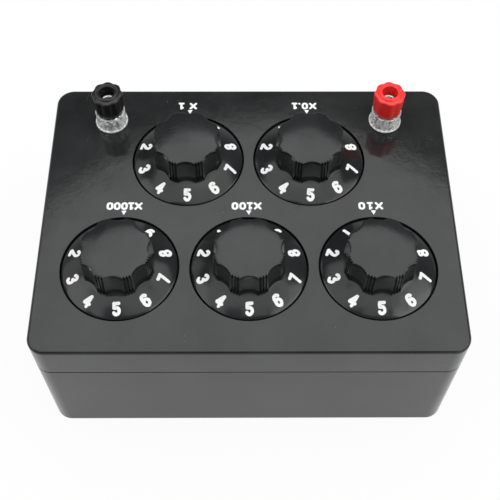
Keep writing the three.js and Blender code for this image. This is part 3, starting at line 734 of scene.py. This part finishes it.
def knob(name, centre):
    """One dial moulding: sloping skirt, fluted grip, hollow underside and hub."""
    outline = grip_outline()

    def round_ring(radius, height):
        return [polar(centre, radius, a, height) for a, _ in outline]

    def grip_ring(inset, height):
        return [polar(centre, r - inset, a, height) for a, r in outline]

    def skirt_ring(outset, rise):
        return [polar(centre, r + outset, a, skirt_level(r + outset) + rise) for a, r in outline]

    def crown_ring(inset, share=1.0, drop=0.0):
        reaches = [(a, (r - GRIP_DRAFT - inset) * share) for a, r in outline]
        return [polar(centre, r, a, crown_level(r) - drop) for a, r in reaches]

    slope = (SKIRT_TOP - RIM_TOP) / (SKIRT_RADIUS - SKIRT_FOOT)
    wall = SKIRT_WALL * math.hypot(1, slope)  # the skirt's thickness, measured upright
    rim_inside = SKIRT_RADIUS - SKIRT_WALL
    grip_inside = GRIP_RADIUS - SCALLOP_DEPTH - GRIP_WALL - GRIP_DRAFT
    under_rim = RIM_TOP + SKIRT_WALL * slope - wall
    under_foot = RIM_TOP + (SKIRT_RADIUS - grip_inside) * slope - wall
    ceiling = GRIP_TOP - GRIP_WALL
    hub_bottom = PANEL_TOP - HUB_DROP
    shaft_top = hub_bottom + SHAFT_DEPTH
    rim = SKIRT_RADIUS - RIM_EDGE
    profile = [
        (POINT_RADIUS, shaft_top),
        (SHAFT_RADIUS, shaft_top),
        (SHAFT_RADIUS, hub_bottom),
        (HUB_RADIUS, hub_bottom),
        (HUB_RADIUS, ceiling),
        (grip_inside, ceiling),
        (grip_inside, under_foot),
        (rim_inside, under_rim),
        (rim_inside, KNOB_BOTTOM),
        (rim, KNOB_BOTTOM),
        (SKIRT_RADIUS, KNOB_BOTTOM + RIM_EDGE),
    ]
    for inset, drop in quarter_round(RIM_EDGE, KNOB_EDGE_STEPS):
        profile.append((SKIRT_RADIUS - inset, skirt_level(SKIRT_RADIUS - inset) - drop))
    for i in range(1, SKIRT_STEPS + 1):
        radius = rim + (GRIP_RADIUS + GRIP_FOOT_MARGIN - rim) * i / SKIRT_STEPS
        profile.append((radius, skirt_level(radius)))

    rings = [round_ring(radius, height) for radius, height in profile]
    fillet = quarter_round(GRIP_FOOT_FILLET, GRIP_FOOT_STEPS)
    rings += [skirt_ring(outset, rise) for rise, outset in fillet]
    rings.append(skirt_ring(0.0, 2 * GRIP_FOOT_FILLET))
    rings.append(grip_ring(GRIP_DRAFT / 2, (SKIRT_TOP + GRIP_TOP) / 2))
    rings.append(grip_ring(GRIP_DRAFT, GRIP_TOP - CROWN - 2 * GRIP_EDGE))
    edge = quarter_round(GRIP_EDGE, KNOB_EDGE_STEPS)
    rings += [crown_ring(inset, drop=drop) for inset, drop in edge]
    rings += [crown_ring(edge[-1][0], 1 - i / CROWN_RINGS) for i in range(1, CROWN_RINGS)]
    rings.append(round_ring(CROWN_POINT_RADIUS, GRIP_TOP))
    piece = smooth(mesh_piece(f"{name}_dial_knob", *loft(rings)), KNOB_SHARP_ANGLE, weighted=False)
    dress(piece, KNOB_BLACK, f"{name}_dial", [f"{name}_knob"])


# Characters


def arc(cx, cy, rx, ry, start, end, steps):
    """Points on an ellipse, angles in degrees."""
    return [
        (cx + rx * math.cos(math.radians(a)), cy + ry * math.sin(math.radians(a)))
        for a in (start + (end - start) * i / steps for i in range(steps + 1))
    ]


# Centrelines of the characters' strokes, in a cell 0.56 wide and 1 high
STROKES = {
    "0": [arc(0, 0.18, 0.28, 0.32, 0, 180, 12) + arc(0, -0.18, 0.28, 0.32, 180, 360, 12)
          + [(0.28, 0.18)]],
    "1": [[(0.02, 0.5), (0.02, -0.5)], [(-0.18, 0.34), (0.02, 0.5)], [(-0.25, -0.5), (0.28, -0.5)]],
    "plain_1": [[(0.02, 0.5), (0.02, -0.5)], [(-0.17, 0.32), (0.02, 0.5)]],
    "2": [arc(0, 0.22, 0.27, 0.28, 165, -35, 12) + [(-0.27, -0.48)], [(-0.27, -0.5), (0.29, -0.5)]],
    "3": [arc(-0.02, 0.26, 0.25, 0.24, 150, -80, 12), arc(-0.02, -0.24, 0.28, 0.26, 80, -150, 12)],
    "4": [[(0.12, -0.5), (0.12, 0.5)], [(0.1, 0.5), (-0.28, -0.2)], [(-0.28, -0.22), (0.3, -0.22)]],
    "5": [[(0.24, 0.5), (-0.2, 0.5)],
          [(-0.2, 0.5), (-0.22, 0.06)] + arc(-0.01, -0.19, 0.28, 0.31, 125, -150, 14)],
    "6": [arc(0.02, 0.18, 0.3, 0.32, 40, 180, 9) + arc(0, -0.2, 0.28, 0.3, 180, 540, 18)],
    "7": [[(-0.27, 0.5), (0.27, 0.5)], [(0.27, 0.5), (-0.06, -0.5)]],
    "8": [arc(0, 0.26, 0.23, 0.24, -90, 270, 18), arc(0, -0.24, 0.28, 0.26, 90, 450, 18)],
    "9": [arc(0.0, -0.16, 0.28, 0.33, 240, 360, 8) + arc(0, 0.2, 0.28, 0.3, 0, 360, 18)],
    "x": [[(-0.42, 0.48), (0.42, -0.48)], [(-0.42, -0.48), (0.42, 0.48)]],
    ".": [[(0, -0.5), (0, -0.47)]],
}
WIDTH_SCATTER = 0.09  # share of a stroke's width
RING_TOLERANCE = 0.02  # between the ends of a stroke that closes on itself
ROUND_END_ANGLES = (25, 50, 75)
PAINT_LIFT = 0.03
PAINT_RISE = 0.012  # from one stroke to the next
PAINT_TILT = 0.8  # share of that rise along one stroke


def ribbon(line, width, chance, step):
    """Sections along a stroke as (x, y, direction, half width), with an uneven edge."""
    dense = [line[0]]
    for (x0, y0), (x1, y1) in zip(line, line[1:]):
        pieces = max(1, round(math.hypot(x1 - x0, y1 - y0) / step))
        dense += [
            (x0 + (x1 - x0) * i / pieces, y0 + (y1 - y0) * i / pieces)
            for i in range(1, pieces + 1)
        ]
    sections = []
    for i, (x, y) in enumerate(dense):
        before, after = dense[max(i - 1, 0)], dense[min(i + 1, len(dense) - 1)]
        along = math.atan2(after[1] - before[1], after[0] - before[0])
        half = width / 2 * (1 + chance.uniform(-WIDTH_SCATTER, WIDTH_SCATTER))
        sections.append((x, y, along, half))
    return sections


def round_end(section, side):
    """Sections that round off a stroke past its start (side -1) or its end (side 1)."""
    x, y, along, half = section
    sections = []
    for angle in (math.radians(a) for a in ROUND_END_ANGLES):
        reach = side * half * math.sin(angle)
        sections.append((
            x + reach * math.cos(along),
            y + reach * math.sin(along),
            along,
            half * math.cos(angle),
        ))
    return sections


def add_stroke(sections, place, order, points, faces):
    """Adds one stroke as a thin band that follows the surface given by place(u, v, height).

    The band rises a little along its length, and from one stroke to the next, so that no two
    faces lie in one place where strokes cross. A stroke that ends where it starts is a ring.
    """
    ring = math.dist(sections[0][:2], sections[-1][:2]) < RING_TOLERANCE
    if ring:
        bands = sections[:-1]
    else:
        bands = round_end(sections[0], -1)[::-1] + sections + round_end(sections[-1], 1)
    first = len(points)
    for i, (x, y, along, half) in enumerate(bands):
        dx, dy = -math.sin(along) * half, math.cos(along) * half
        lift = PAINT_LIFT + PAINT_RISE * (order + (0 if ring else PAINT_TILT * i / len(bands)))
        points += [
            place(x + dx, y + dy, lift),
            place(x - dx, y - dy, lift),
            place(x - dx, y - dy, -lift),
            place(x + dx, y + dy, -lift),
        ]
    for i in range(len(bands) if ring else len(bands) - 1):
        a, b = first + 4 * i, first + 4 * ((i + 1) % len(bands))
        for j in range(4):
            k = (j + 1) % 4
            faces.append((a + j, a + k, b + k, b + j))
    if not ring:
        last = first + 4 * (len(bands) - 1)
        faces.append((first + 3, first + 2, first + 1, first))
        faces.append((last, last + 1, last + 2, last + 3))


# The figures on a dial
FIGURES = 10
FIRST_FIGURE = 0.25  # of a turn: zero stands behind the grip at rest
FIGURE_STROKES = {1: "plain_1"}
NUMBER_HEIGHT = 3.9
NUMBER_WIDTH = 0.98
NUMBER_STROKE = 1.26
NUMBER_STEP = 0.35
NUMBER_RADIUS = 18.45
NUMBER_TURN_SCATTER = 0.012
NUMBER_TILT_SCATTER = 0.05
NUMBER_RADIUS_SCATTER = 0.15


def dial_numbers(name, centre, seed):
    """The ten figures painted on a dial's skirt, their tops towards the axis."""
    chance = random.Random(seed)
    points, faces = [], []
    for figure in range(FIGURES):
        angle = FULL_TURN * (FIRST_FIGURE + figure / FIGURES)
        angle += chance.uniform(-NUMBER_TURN_SCATTER, NUMBER_TURN_SCATTER)
        tilt = chance.uniform(-NUMBER_TILT_SCATTER, NUMBER_TILT_SCATTER)
        shift = chance.uniform(-NUMBER_RADIUS_SCATTER, NUMBER_RADIUS_SCATTER)

        def place(u, v, height):
            u, v = (u * math.cos(tilt) - v * math.sin(tilt),
                    u * math.sin(tilt) + v * math.cos(tilt))
            radius = NUMBER_RADIUS + shift - v
            return polar(centre, radius, angle + u / radius, skirt_level(radius) + height)

        for order, line in enumerate(STROKES[FIGURE_STROKES.get(figure, str(figure))]):
            sized = [(x * NUMBER_HEIGHT * NUMBER_WIDTH, y * NUMBER_HEIGHT) for x, y in line]
            sections = ribbon(sized, NUMBER_STROKE, chance, NUMBER_STEP)
            add_stroke(sections, place, order, points, faces)
    piece = mesh_piece(f"{name}_dial_numbers", points, faces)
    dress(smooth(piece, weighted=False), PAINT, f"{name}_dial")


# The multipliers on the panel: text, spread and shift off the dial's axis
LABELS = {
    "thousands": ("x1000", 14.2, 0.1),
    "hundreds": ("x100", 11.9, -0.85),
    "tens": ("x10", 9.7, -0.95),
    "units": ("x1", 7.6, -1.0),
    "tenths": ("x0.1", 10.3, -0.95),
}
LABEL_HEIGHT = 2.7
LABEL_STROKE = 0.92
LABEL_STEP = 0.3
LABEL_STRETCH = {"0": 1.2, "1": 1.1}
LABEL_CENTRE = 28.35
LABEL_WIDTHS = {"x": 3.0, "1": 2.1, ".": 0.8, "0": 2.5}
ARROW_TIP = 24.1
ARROW_LENGTH = 2.05
ARROW_WIDTH = 2.1
WEDGE_FACES = ((0, 1, 2), (5, 4, 3), (0, 3, 4, 1), (1, 4, 5, 2), (2, 5, 3, 0))


def panel_label(name, centre, seed):
    """The multiplier and its arrow behind a dial, to be read from the terminals' side."""
    chance = random.Random(seed)
    text, label_spread, label_shift = LABELS[name]
    widths = [LABEL_WIDTHS[c] for c in text]
    spacing = (label_spread - sum(widths)) / (len(widths) - 1)
    start = -label_spread / 2
    points, faces = [], []
    for character, width in zip(text, widths):
        character_middle = start + width / 2
        start += width + spacing

        def place(u, v, height):
            return (
                centre[0] + label_shift - (character_middle + u),
                centre[1] + LABEL_CENTRE - v,
                PANEL_TOP + height,
            )

        stretch = LABEL_STRETCH.get(character, 1.0)
        for order, line in enumerate(STROKES[character]):
            sized = [(x * LABEL_HEIGHT * stretch, y * LABEL_HEIGHT) for x, y in line]
            sections = ribbon(sized, LABEL_STROKE, chance, LABEL_STEP)
            add_stroke(sections, place, order, points, faces)
    tip = Vector((centre[0], centre[1] + ARROW_TIP))
    corners = [tip] + [tip + Vector((side * ARROW_WIDTH / 2, ARROW_LENGTH)) for side in (1, -1)]
    first = len(points)
    points += [
        (c.x, c.y, level)
        for level in (PANEL_TOP + PAINT_LIFT, PANEL_TOP - PAINT_LIFT)
        for c in corners
    ]
    faces += [tuple(first + i for i in face) for face in WEDGE_FACES]
    piece = mesh_piece(f"{name}_panel_mark", points, faces)
    dress(smooth(piece, weighted=False), PAINT, "case")


# Terminals

TERMINAL_SHARP_ANGLE = 40
CAP_SIDES = 160
CAP_RADIUS = 6.4
CAP_LOWER_RADIUS = 6.0
CAP_TAPER = 0.25
CAP_TAPER_SHARES = (0.12, 0.5)
CAP_TAPER_MARGIN = 3.0  # of the height, for the foot and the shoulder
CAP_FOOT_RADIUS = 5.3
CAP_FOOT_HEIGHT = 1.0
CAP_FOOT_EDGE = 0.15
CAP_SHOULDER_EDGE = 0.6
CAP_EDGE = 0.5
CAP_EDGE_STEPS = 5
CAP_EDGE_SPREAD = 1.6  # the collar's edge is wider than it is high
CAP_LOBES = 8
CAP_LOBE_DEPTH = 0.5
CAP_LOBE_POWER = 0.75
CAP_COLLAR_RADIUS = 4.6
CAP_COLLAR_HEIGHT = 0.8
CAP_COLLAR_FILLET = ((0.5, 0.02), (0.2, 0.1), (0.0, 0.25))  # outset, rise
CAP_HOLE_RADIUS = 3.15
CAP_HOLE_LIP = ((0.25, 0.0), (0.07, 0.07), (0.0, 0.25))  # outset, drop
BUSH_SEAT_RADIUS = 4.3
BUSH_SEAT_GAP = 0.2

CUP_SIDES = 96
CUP_SEAT = 0.3  # gap between the panel, the cup and the stud's collar
CUP_FLOOR = 1.6
CUP_BORE_RADIUS = 2.2
CUP_NECK_RADIUS = 3.2
CUP_FOOT_OUTLINE = (  # radius, height over the seat
    (6.6, 0.0), (6.76, 0.06), (6.8, 0.2), (6.8, 0.5), (6.74, 0.66), (6.6, 0.74), (6.3, 0.84),
    (6.22, 0.95), (6.2, 1.2),
)
CUP_RIM_OUTLINE = (  # radius, drop from the rim
    (6.16, 0.3), (6.12, 0.12), (6.02, 0.0), (5.75, 0.0), (5.64, 0.1), (5.6, 0.3),
)
CUP_INSIDE_OUTLINE = ((5.6, 2.1), (5.5, 1.75), (5.2, CUP_FLOOR))  # radius, height over the seat

STUD_SIDES = 56
STUD_SHARP_ANGLE = 12
STUD_RADIUS = 1.9
STUD_TIP_RADIUS = 1.7
STUD_TIP_EDGE = 0.2
COLLAR_RADIUS = 5.1
COLLAR_END_RADIUS = 4.6
COLLAR_HEIGHT = 4.9
COLLAR_STEPS = 11
COLLAR_GROOVES = (3, 7)
COLLAR_GROOVE_DEPTH = 0.35
COLLAR_ROUGHNESS = 0.4
COLLAR_FLATNESS = 4  # how much less it is rough in height
COLLAR_EDGE = 0.1
TUBE_RADIUS = 2.8
SOCKET_RADIUS = 2.05
SOCKET_DEPTH = 7.0
TUBE_OUTLINE = (  # radius, drop from the top
    (TUBE_RADIUS, 0.5), (2.74, 0.15), (2.66, 0.0), (2.35, 0.05), (SOCKET_RADIUS, 0.15),
)


def terminal_cap(name, centre):
    """A screw cap: lobed body with a round foot, a collar, a plug hole and the bush's seat."""
    low, high = box_mm(f"{name}_terminal_cap")
    shoulder = high.z - CAP_COLLAR_HEIGHT
    bush_top = box_mm(f"{name}_terminal_thread_bush")[1].z + BUSH_SEAT_GAP
    waist = low.z + 2 * CAP_FOOT_HEIGHT
    taper_height = shoulder - low.z - CAP_TAPER_MARGIN

    def ring(radius, depth, height):
        points = []
        for angle in (FULL_TURN * i / CAP_SIDES for i in range(CAP_SIDES)):
            swing = (0.5 + 0.5 * math.cos(CAP_LOBES * angle)) ** CAP_LOBE_POWER
            points.append(polar(centre, radius - depth * (1 - swing), angle, height))
        return points

    rings = [
        ring(BUSH_SEAT_RADIUS, 0, low.z),
        ring(CAP_FOOT_RADIUS - CAP_FOOT_EDGE, 0, low.z),
        ring(CAP_FOOT_RADIUS, 0, low.z + CAP_FOOT_EDGE),
        ring(CAP_FOOT_RADIUS, 0, low.z + CAP_FOOT_HEIGHT),
        ring(CAP_LOWER_RADIUS, CAP_LOBE_DEPTH / 2, waist),
    ]
    for share in CAP_TAPER_SHARES:
        radius = CAP_RADIUS - CAP_TAPER * (1 - share)
        rings.append(ring(radius, CAP_LOBE_DEPTH, waist + taper_height * share))
    for inset, drop in quarter_round(CAP_SHOULDER_EDGE, CAP_EDGE_STEPS):
        rings.append(ring(CAP_RADIUS - inset, CAP_LOBE_DEPTH, shoulder - drop))
    for outset, rise in CAP_COLLAR_FILLET:
        rings.append(ring(CAP_COLLAR_RADIUS + outset, 0, shoulder + rise))
    for inset, drop in quarter_round(CAP_EDGE, CAP_EDGE_STEPS):
        rings.append(ring(CAP_COLLAR_RADIUS - CAP_EDGE_SPREAD * inset, 0, high.z - drop))
    for outset, drop in CAP_HOLE_LIP:
        rings.append(ring(CAP_HOLE_RADIUS + outset, 0, high.z - drop))
    rings += [ring(CAP_HOLE_RADIUS, 0, bush_top), ring(BUSH_SEAT_RADIUS, 0, bush_top)]
    piece = mesh_piece(f"{name}_cap_moulding", *loft(rings, closed=True))
    slot = f"cap_{name}"
    dress(smooth(piece, TERMINAL_SHARP_ANGLE), SLOT_MATERIALS[slot], f"{name}_terminal_screw_cap",
          [f"{name}_terminal_cap"])


def terminal_insulator(name, centre):
    """The clear cup: a flanged foot, a thin wall and a neck through the panel."""
    low, high = box_mm(f"{name}_terminal_insulator")
    seat = PANEL_TOP + CUP_SEAT
    profile = [(CUP_BORE_RADIUS, low.z), (CUP_NECK_RADIUS, low.z), (CUP_NECK_RADIUS, seat)]
    profile += [(radius, seat + rise) for radius, rise in CUP_FOOT_OUTLINE]
    profile += [(radius, high.z - drop) for radius, drop in CUP_RIM_OUTLINE]
    profile += [(radius, seat + rise) for radius, rise in CUP_INSIDE_OUTLINE]
    profile.append((CUP_BORE_RADIUS, seat + CUP_FLOOR))
    piece = mesh_piece(f"{name}_clear_cup", *revolved(profile, CUP_SIDES, centre, closed=True))
    dress(smooth(piece, TERMINAL_SHARP_ANGLE), CLEAR, "case", [f"{name}_terminal_insulator"])


def terminal_stud(name, centre, seed):
    """The stud: tail, a rough cast collar in the cup, and the tube with its plug socket."""
    chance = random.Random(seed)
    low, high = box_mm(f"{name}_terminal_stud")
    collar_low = PANEL_TOP + CUP_SEAT + CUP_FLOOR + CUP_SEAT
    collar_top = collar_low + COLLAR_HEIGHT

    def ring(radius, height, rough=0.0):
        """A ring with uneven points. A smooth one draws its random numbers too."""
        points = []
        for i in range(STUD_SIDES):
            angle = FULL_TURN * (i + chance.uniform(-rough, rough)) / STUD_SIDES
            reach = radius - chance.uniform(0, rough)
            level = height + chance.uniform(-rough, rough) / COLLAR_FLATNESS
            points.append(polar(centre, reach, angle, level))
        return points

    rings = [
        ring(POINT_RADIUS, low.z),
        ring(STUD_TIP_RADIUS, low.z),
        ring(STUD_RADIUS, low.z + STUD_TIP_EDGE),
        ring(STUD_RADIUS, collar_low),
        ring(COLLAR_END_RADIUS, collar_low),
    ]
    for i in range(1, COLLAR_STEPS):
        radius = COLLAR_RADIUS - (COLLAR_GROOVE_DEPTH if i in COLLAR_GROOVES else 0.0)
        height = collar_low + COLLAR_HEIGHT * i / COLLAR_STEPS
        rings.append(ring(radius, height, COLLAR_ROUGHNESS))
    rings.append(ring(COLLAR_END_RADIUS, collar_top - COLLAR_EDGE, COLLAR_EDGE))
    rings.append(ring(TUBE_RADIUS, collar_top))
    rings += [ring(radius, high.z - drop) for radius, drop in TUBE_OUTLINE]
    rings += [ring(radius, high.z - SOCKET_DEPTH) for radius in (SOCKET_RADIUS, POINT_RADIUS)]
    piece = smooth(mesh_piece(f"{name}_stud", *loft(rings)), STUD_SHARP_ANGLE, weighted=False)
    dress(piece, NICKEL, "case", [f"{name}_terminal_stud"])


# Stage

SENSOR_WIDTH = 36.0
CAMERA_LENS = 66.12
CAMERA_CLIP = (0.01, 20.0)
CAMERA_ANGLES = (0.608, 59.3, 0.437)  # yaw, pitch and roll in degrees
CAMERA_PLACE = (-1.54, -201.59, 308.48)  # in millimetres, over the panel's middle

FLOOR_RADIUS = 2.2
FLOOR_LEVEL = -0.0004
FLOOR_SIDES = 64
FLOOR_SEEN_WHITE = 0.93  # how far the floor shows as white to the camera
FLOOR_MIRRORED_WHITE = 0.5

LAMP_HEIGHT = 1.2675
LAMPS = {  # place over the floor, size, power in watts, shape and turn in degrees
    "overhead": ((0.035, 0.49), (1.02, 1.02), 4.5, "ELLIPSE", 0),
    "overhead_front": ((0.075, -0.09), (1.05, 0.38), 1.52, "RECTANGLE", 0),
    "front": ((0.12, -0.34), (0.46, 0.16), 0.24, "RECTANGLE", 0),
    "front_right": ((0.38, -0.09), (0.46, 0.38), 0.2, "RECTANGLE", 0),
    "corner_right": ((0.57, -0.29), (0.26, 0.42), 0.8, "RECTANGLE", 0),
    "inner_left": ((-0.63, 0.27), (0.4, 1.15), 1.75, "RECTANGLE", 0),
    "inner_right": ((0.63, 0.27), (0.36, 1.15), 1.8, "RECTANGLE", 0),
    "corner_left": ((-0.6, -0.34), (0.26, 0.3), 0.3, "RECTANGLE", 0),
    "left": ((-1.25, 0.0), (0.9, 1.0), 4.1, "ELLIPSE", 0),
    "far_left": ((-1.65, 0.9), (1.1, 1.0), 2.4, "ELLIPSE", 0),
    "right": ((1.2, -0.2), (1.4, 0.55), 7.0, "RECTANGLE", 35),
    "right_inner": ((0.962, 0.14), (1.2, 0.28), 2.1, "RECTANGLE", 35),
}

CEILING_HEIGHTS = (0.2, 0.45)  # of a mirrored direction, from the walls to the full ceiling
WALL_COLOUR = colour(0.85, 0.85, 0.85)
CEILING_COLOUR = colour(0.09, 0.09, 0.10)
FILL_COLOUR = colour(0.5, 0.5, 0.5)
WHITE = colour(1.0, 1.0, 1.0)


def add_camera():
    """The camera at the photograph's place."""
    data = bpy.data.cameras.new("camera")
    data.sensor_width = SENSOR_WIDTH
    data.lens = CAMERA_LENS
    data.clip_start, data.clip_end = CAMERA_CLIP
    camera = add_object("camera", data)
    yaw, pitch, roll = (math.radians(a) for a in CAMERA_ANGLES)
    forward = Vector((
        math.sin(yaw) * math.cos(pitch),
        math.cos(yaw) * math.cos(pitch),
        -math.sin(pitch),
    ))
    level = Vector((math.cos(yaw), -math.sin(yaw), 0.0))
    upright = level.cross(forward)
    right = level * math.cos(roll) + upright * math.sin(roll)
    up = upright * math.cos(roll) - level * math.sin(roll)
    x, y, height = CAMERA_PLACE
    place = Vector((x, y, PANEL_TOP + height)) * MM
    rows = [(right[i], up[i], -forward[i], place[i]) for i in range(3)]
    camera.matrix_world = Matrix((*rows, (0, 0, 0, 1)))
    bpy.context.scene.camera = camera
    bpy.context.scene.view_settings.view_transform = "Standard"


def seen_by_camera(tree, path):
    """One for rays that the camera sends, also through clear plastic."""
    return combined(tree, "MAXIMUM", path.outputs["Is Camera Ray"],
                    path.outputs["Is Transmission Ray"])


def add_floor():
    """A pale floor that shows as white but takes the box's shadow."""
    mesh = bpy.data.meshes.new("floor")
    outline = circle(FLOOR_RADIUS, FLOOR_LEVEL, FLOOR_SIDES)
    mesh.from_pydata(outline, [], [tuple(range(FLOOR_SIDES))])
    floor = add_object("floor", mesh)
    pale, tree, shader, _ = new_material("floor_white", Roughness=0.9,
                                         Base_Color=colour(0.86, 0.86, 0.86))
    glow = tree_node(tree, "ShaderNodeEmission", Color=WHITE, Strength=1.0)
    path = tree.nodes.new("ShaderNodeLightPath")
    seen = times(tree, seen_by_camera(tree, path), FLOOR_SEEN_WHITE)
    mirrored = times(tree, path.outputs["Is Glossy Ray"], FLOOR_MIRRORED_WHITE)
    mixed = tree_node(tree, "ShaderNodeMixShader", i0=combined(tree, "MAXIMUM", seen, mirrored),
                      i1=shader.outputs[0], i2=glow.outputs[0])
    feed(tree, tree.nodes["Material Output"].inputs["Surface"], mixed.outputs[0])
    mesh.materials.append(pale)


def add_lamps():
    """Soft boxes that face straight down."""
    for name, (place, size, power, shape, turn) in LAMPS.items():
        data = bpy.data.lights.new(name, "AREA")
        data.shape = shape
        data.size, data.size_y = size
        data.energy = power
        lamp = add_object(name, data)
        lamp.location = (*place, LAMP_HEIGHT)
        lamp.rotation_euler = (0.0, 0.0, math.radians(turn))


def add_world():
    """White to the camera, a soft fill, and pale walls under a dark ceiling in mirrors."""
    world = bpy.data.worlds.new("studio")
    bpy.context.scene.world = world
    world.use_nodes = True
    tree = world.node_tree
    path = tree.nodes.new("ShaderNodeLightPath")
    direction = tree.nodes.new("ShaderNodeTexCoord").outputs["Generated"]
    ceiling = remap(tree, coordinate_parts(tree, direction)["Z"], *CEILING_HEIGHTS)
    mirrored = blend(tree, ceiling, WALL_COLOUR, CEILING_COLOUR)
    lit = blend(tree, path.outputs["Is Glossy Ray"], FILL_COLOUR, mirrored)
    shown = blend(tree, seen_by_camera(tree, path), lit, WHITE)
    feed(tree, tree.nodes["Background"].inputs["Color"], shown)


# Build

NUMBER_SEED = 11
LABEL_SEED = 31
STUD_SEED = 51

add_camera()
add_floor()
add_lamps()
add_world()
finish_frame()
lid()
base()
for index, (dial, centre) in enumerate(zip(DIALS, DIAL_PLACES)):
    knob(dial, centre)
    dial_numbers(dial, centre, NUMBER_SEED + index)
    panel_label(dial, centre, LABEL_SEED + index)
for index, (terminal, centre) in enumerate(zip(TERMINALS, TERMINAL_PLACES)):
    terminal_cap(terminal, centre)
    terminal_insulator(terminal, centre)
    terminal_stud(terminal, centre, STUD_SEED + index)

bpy.context.view_layer.update()
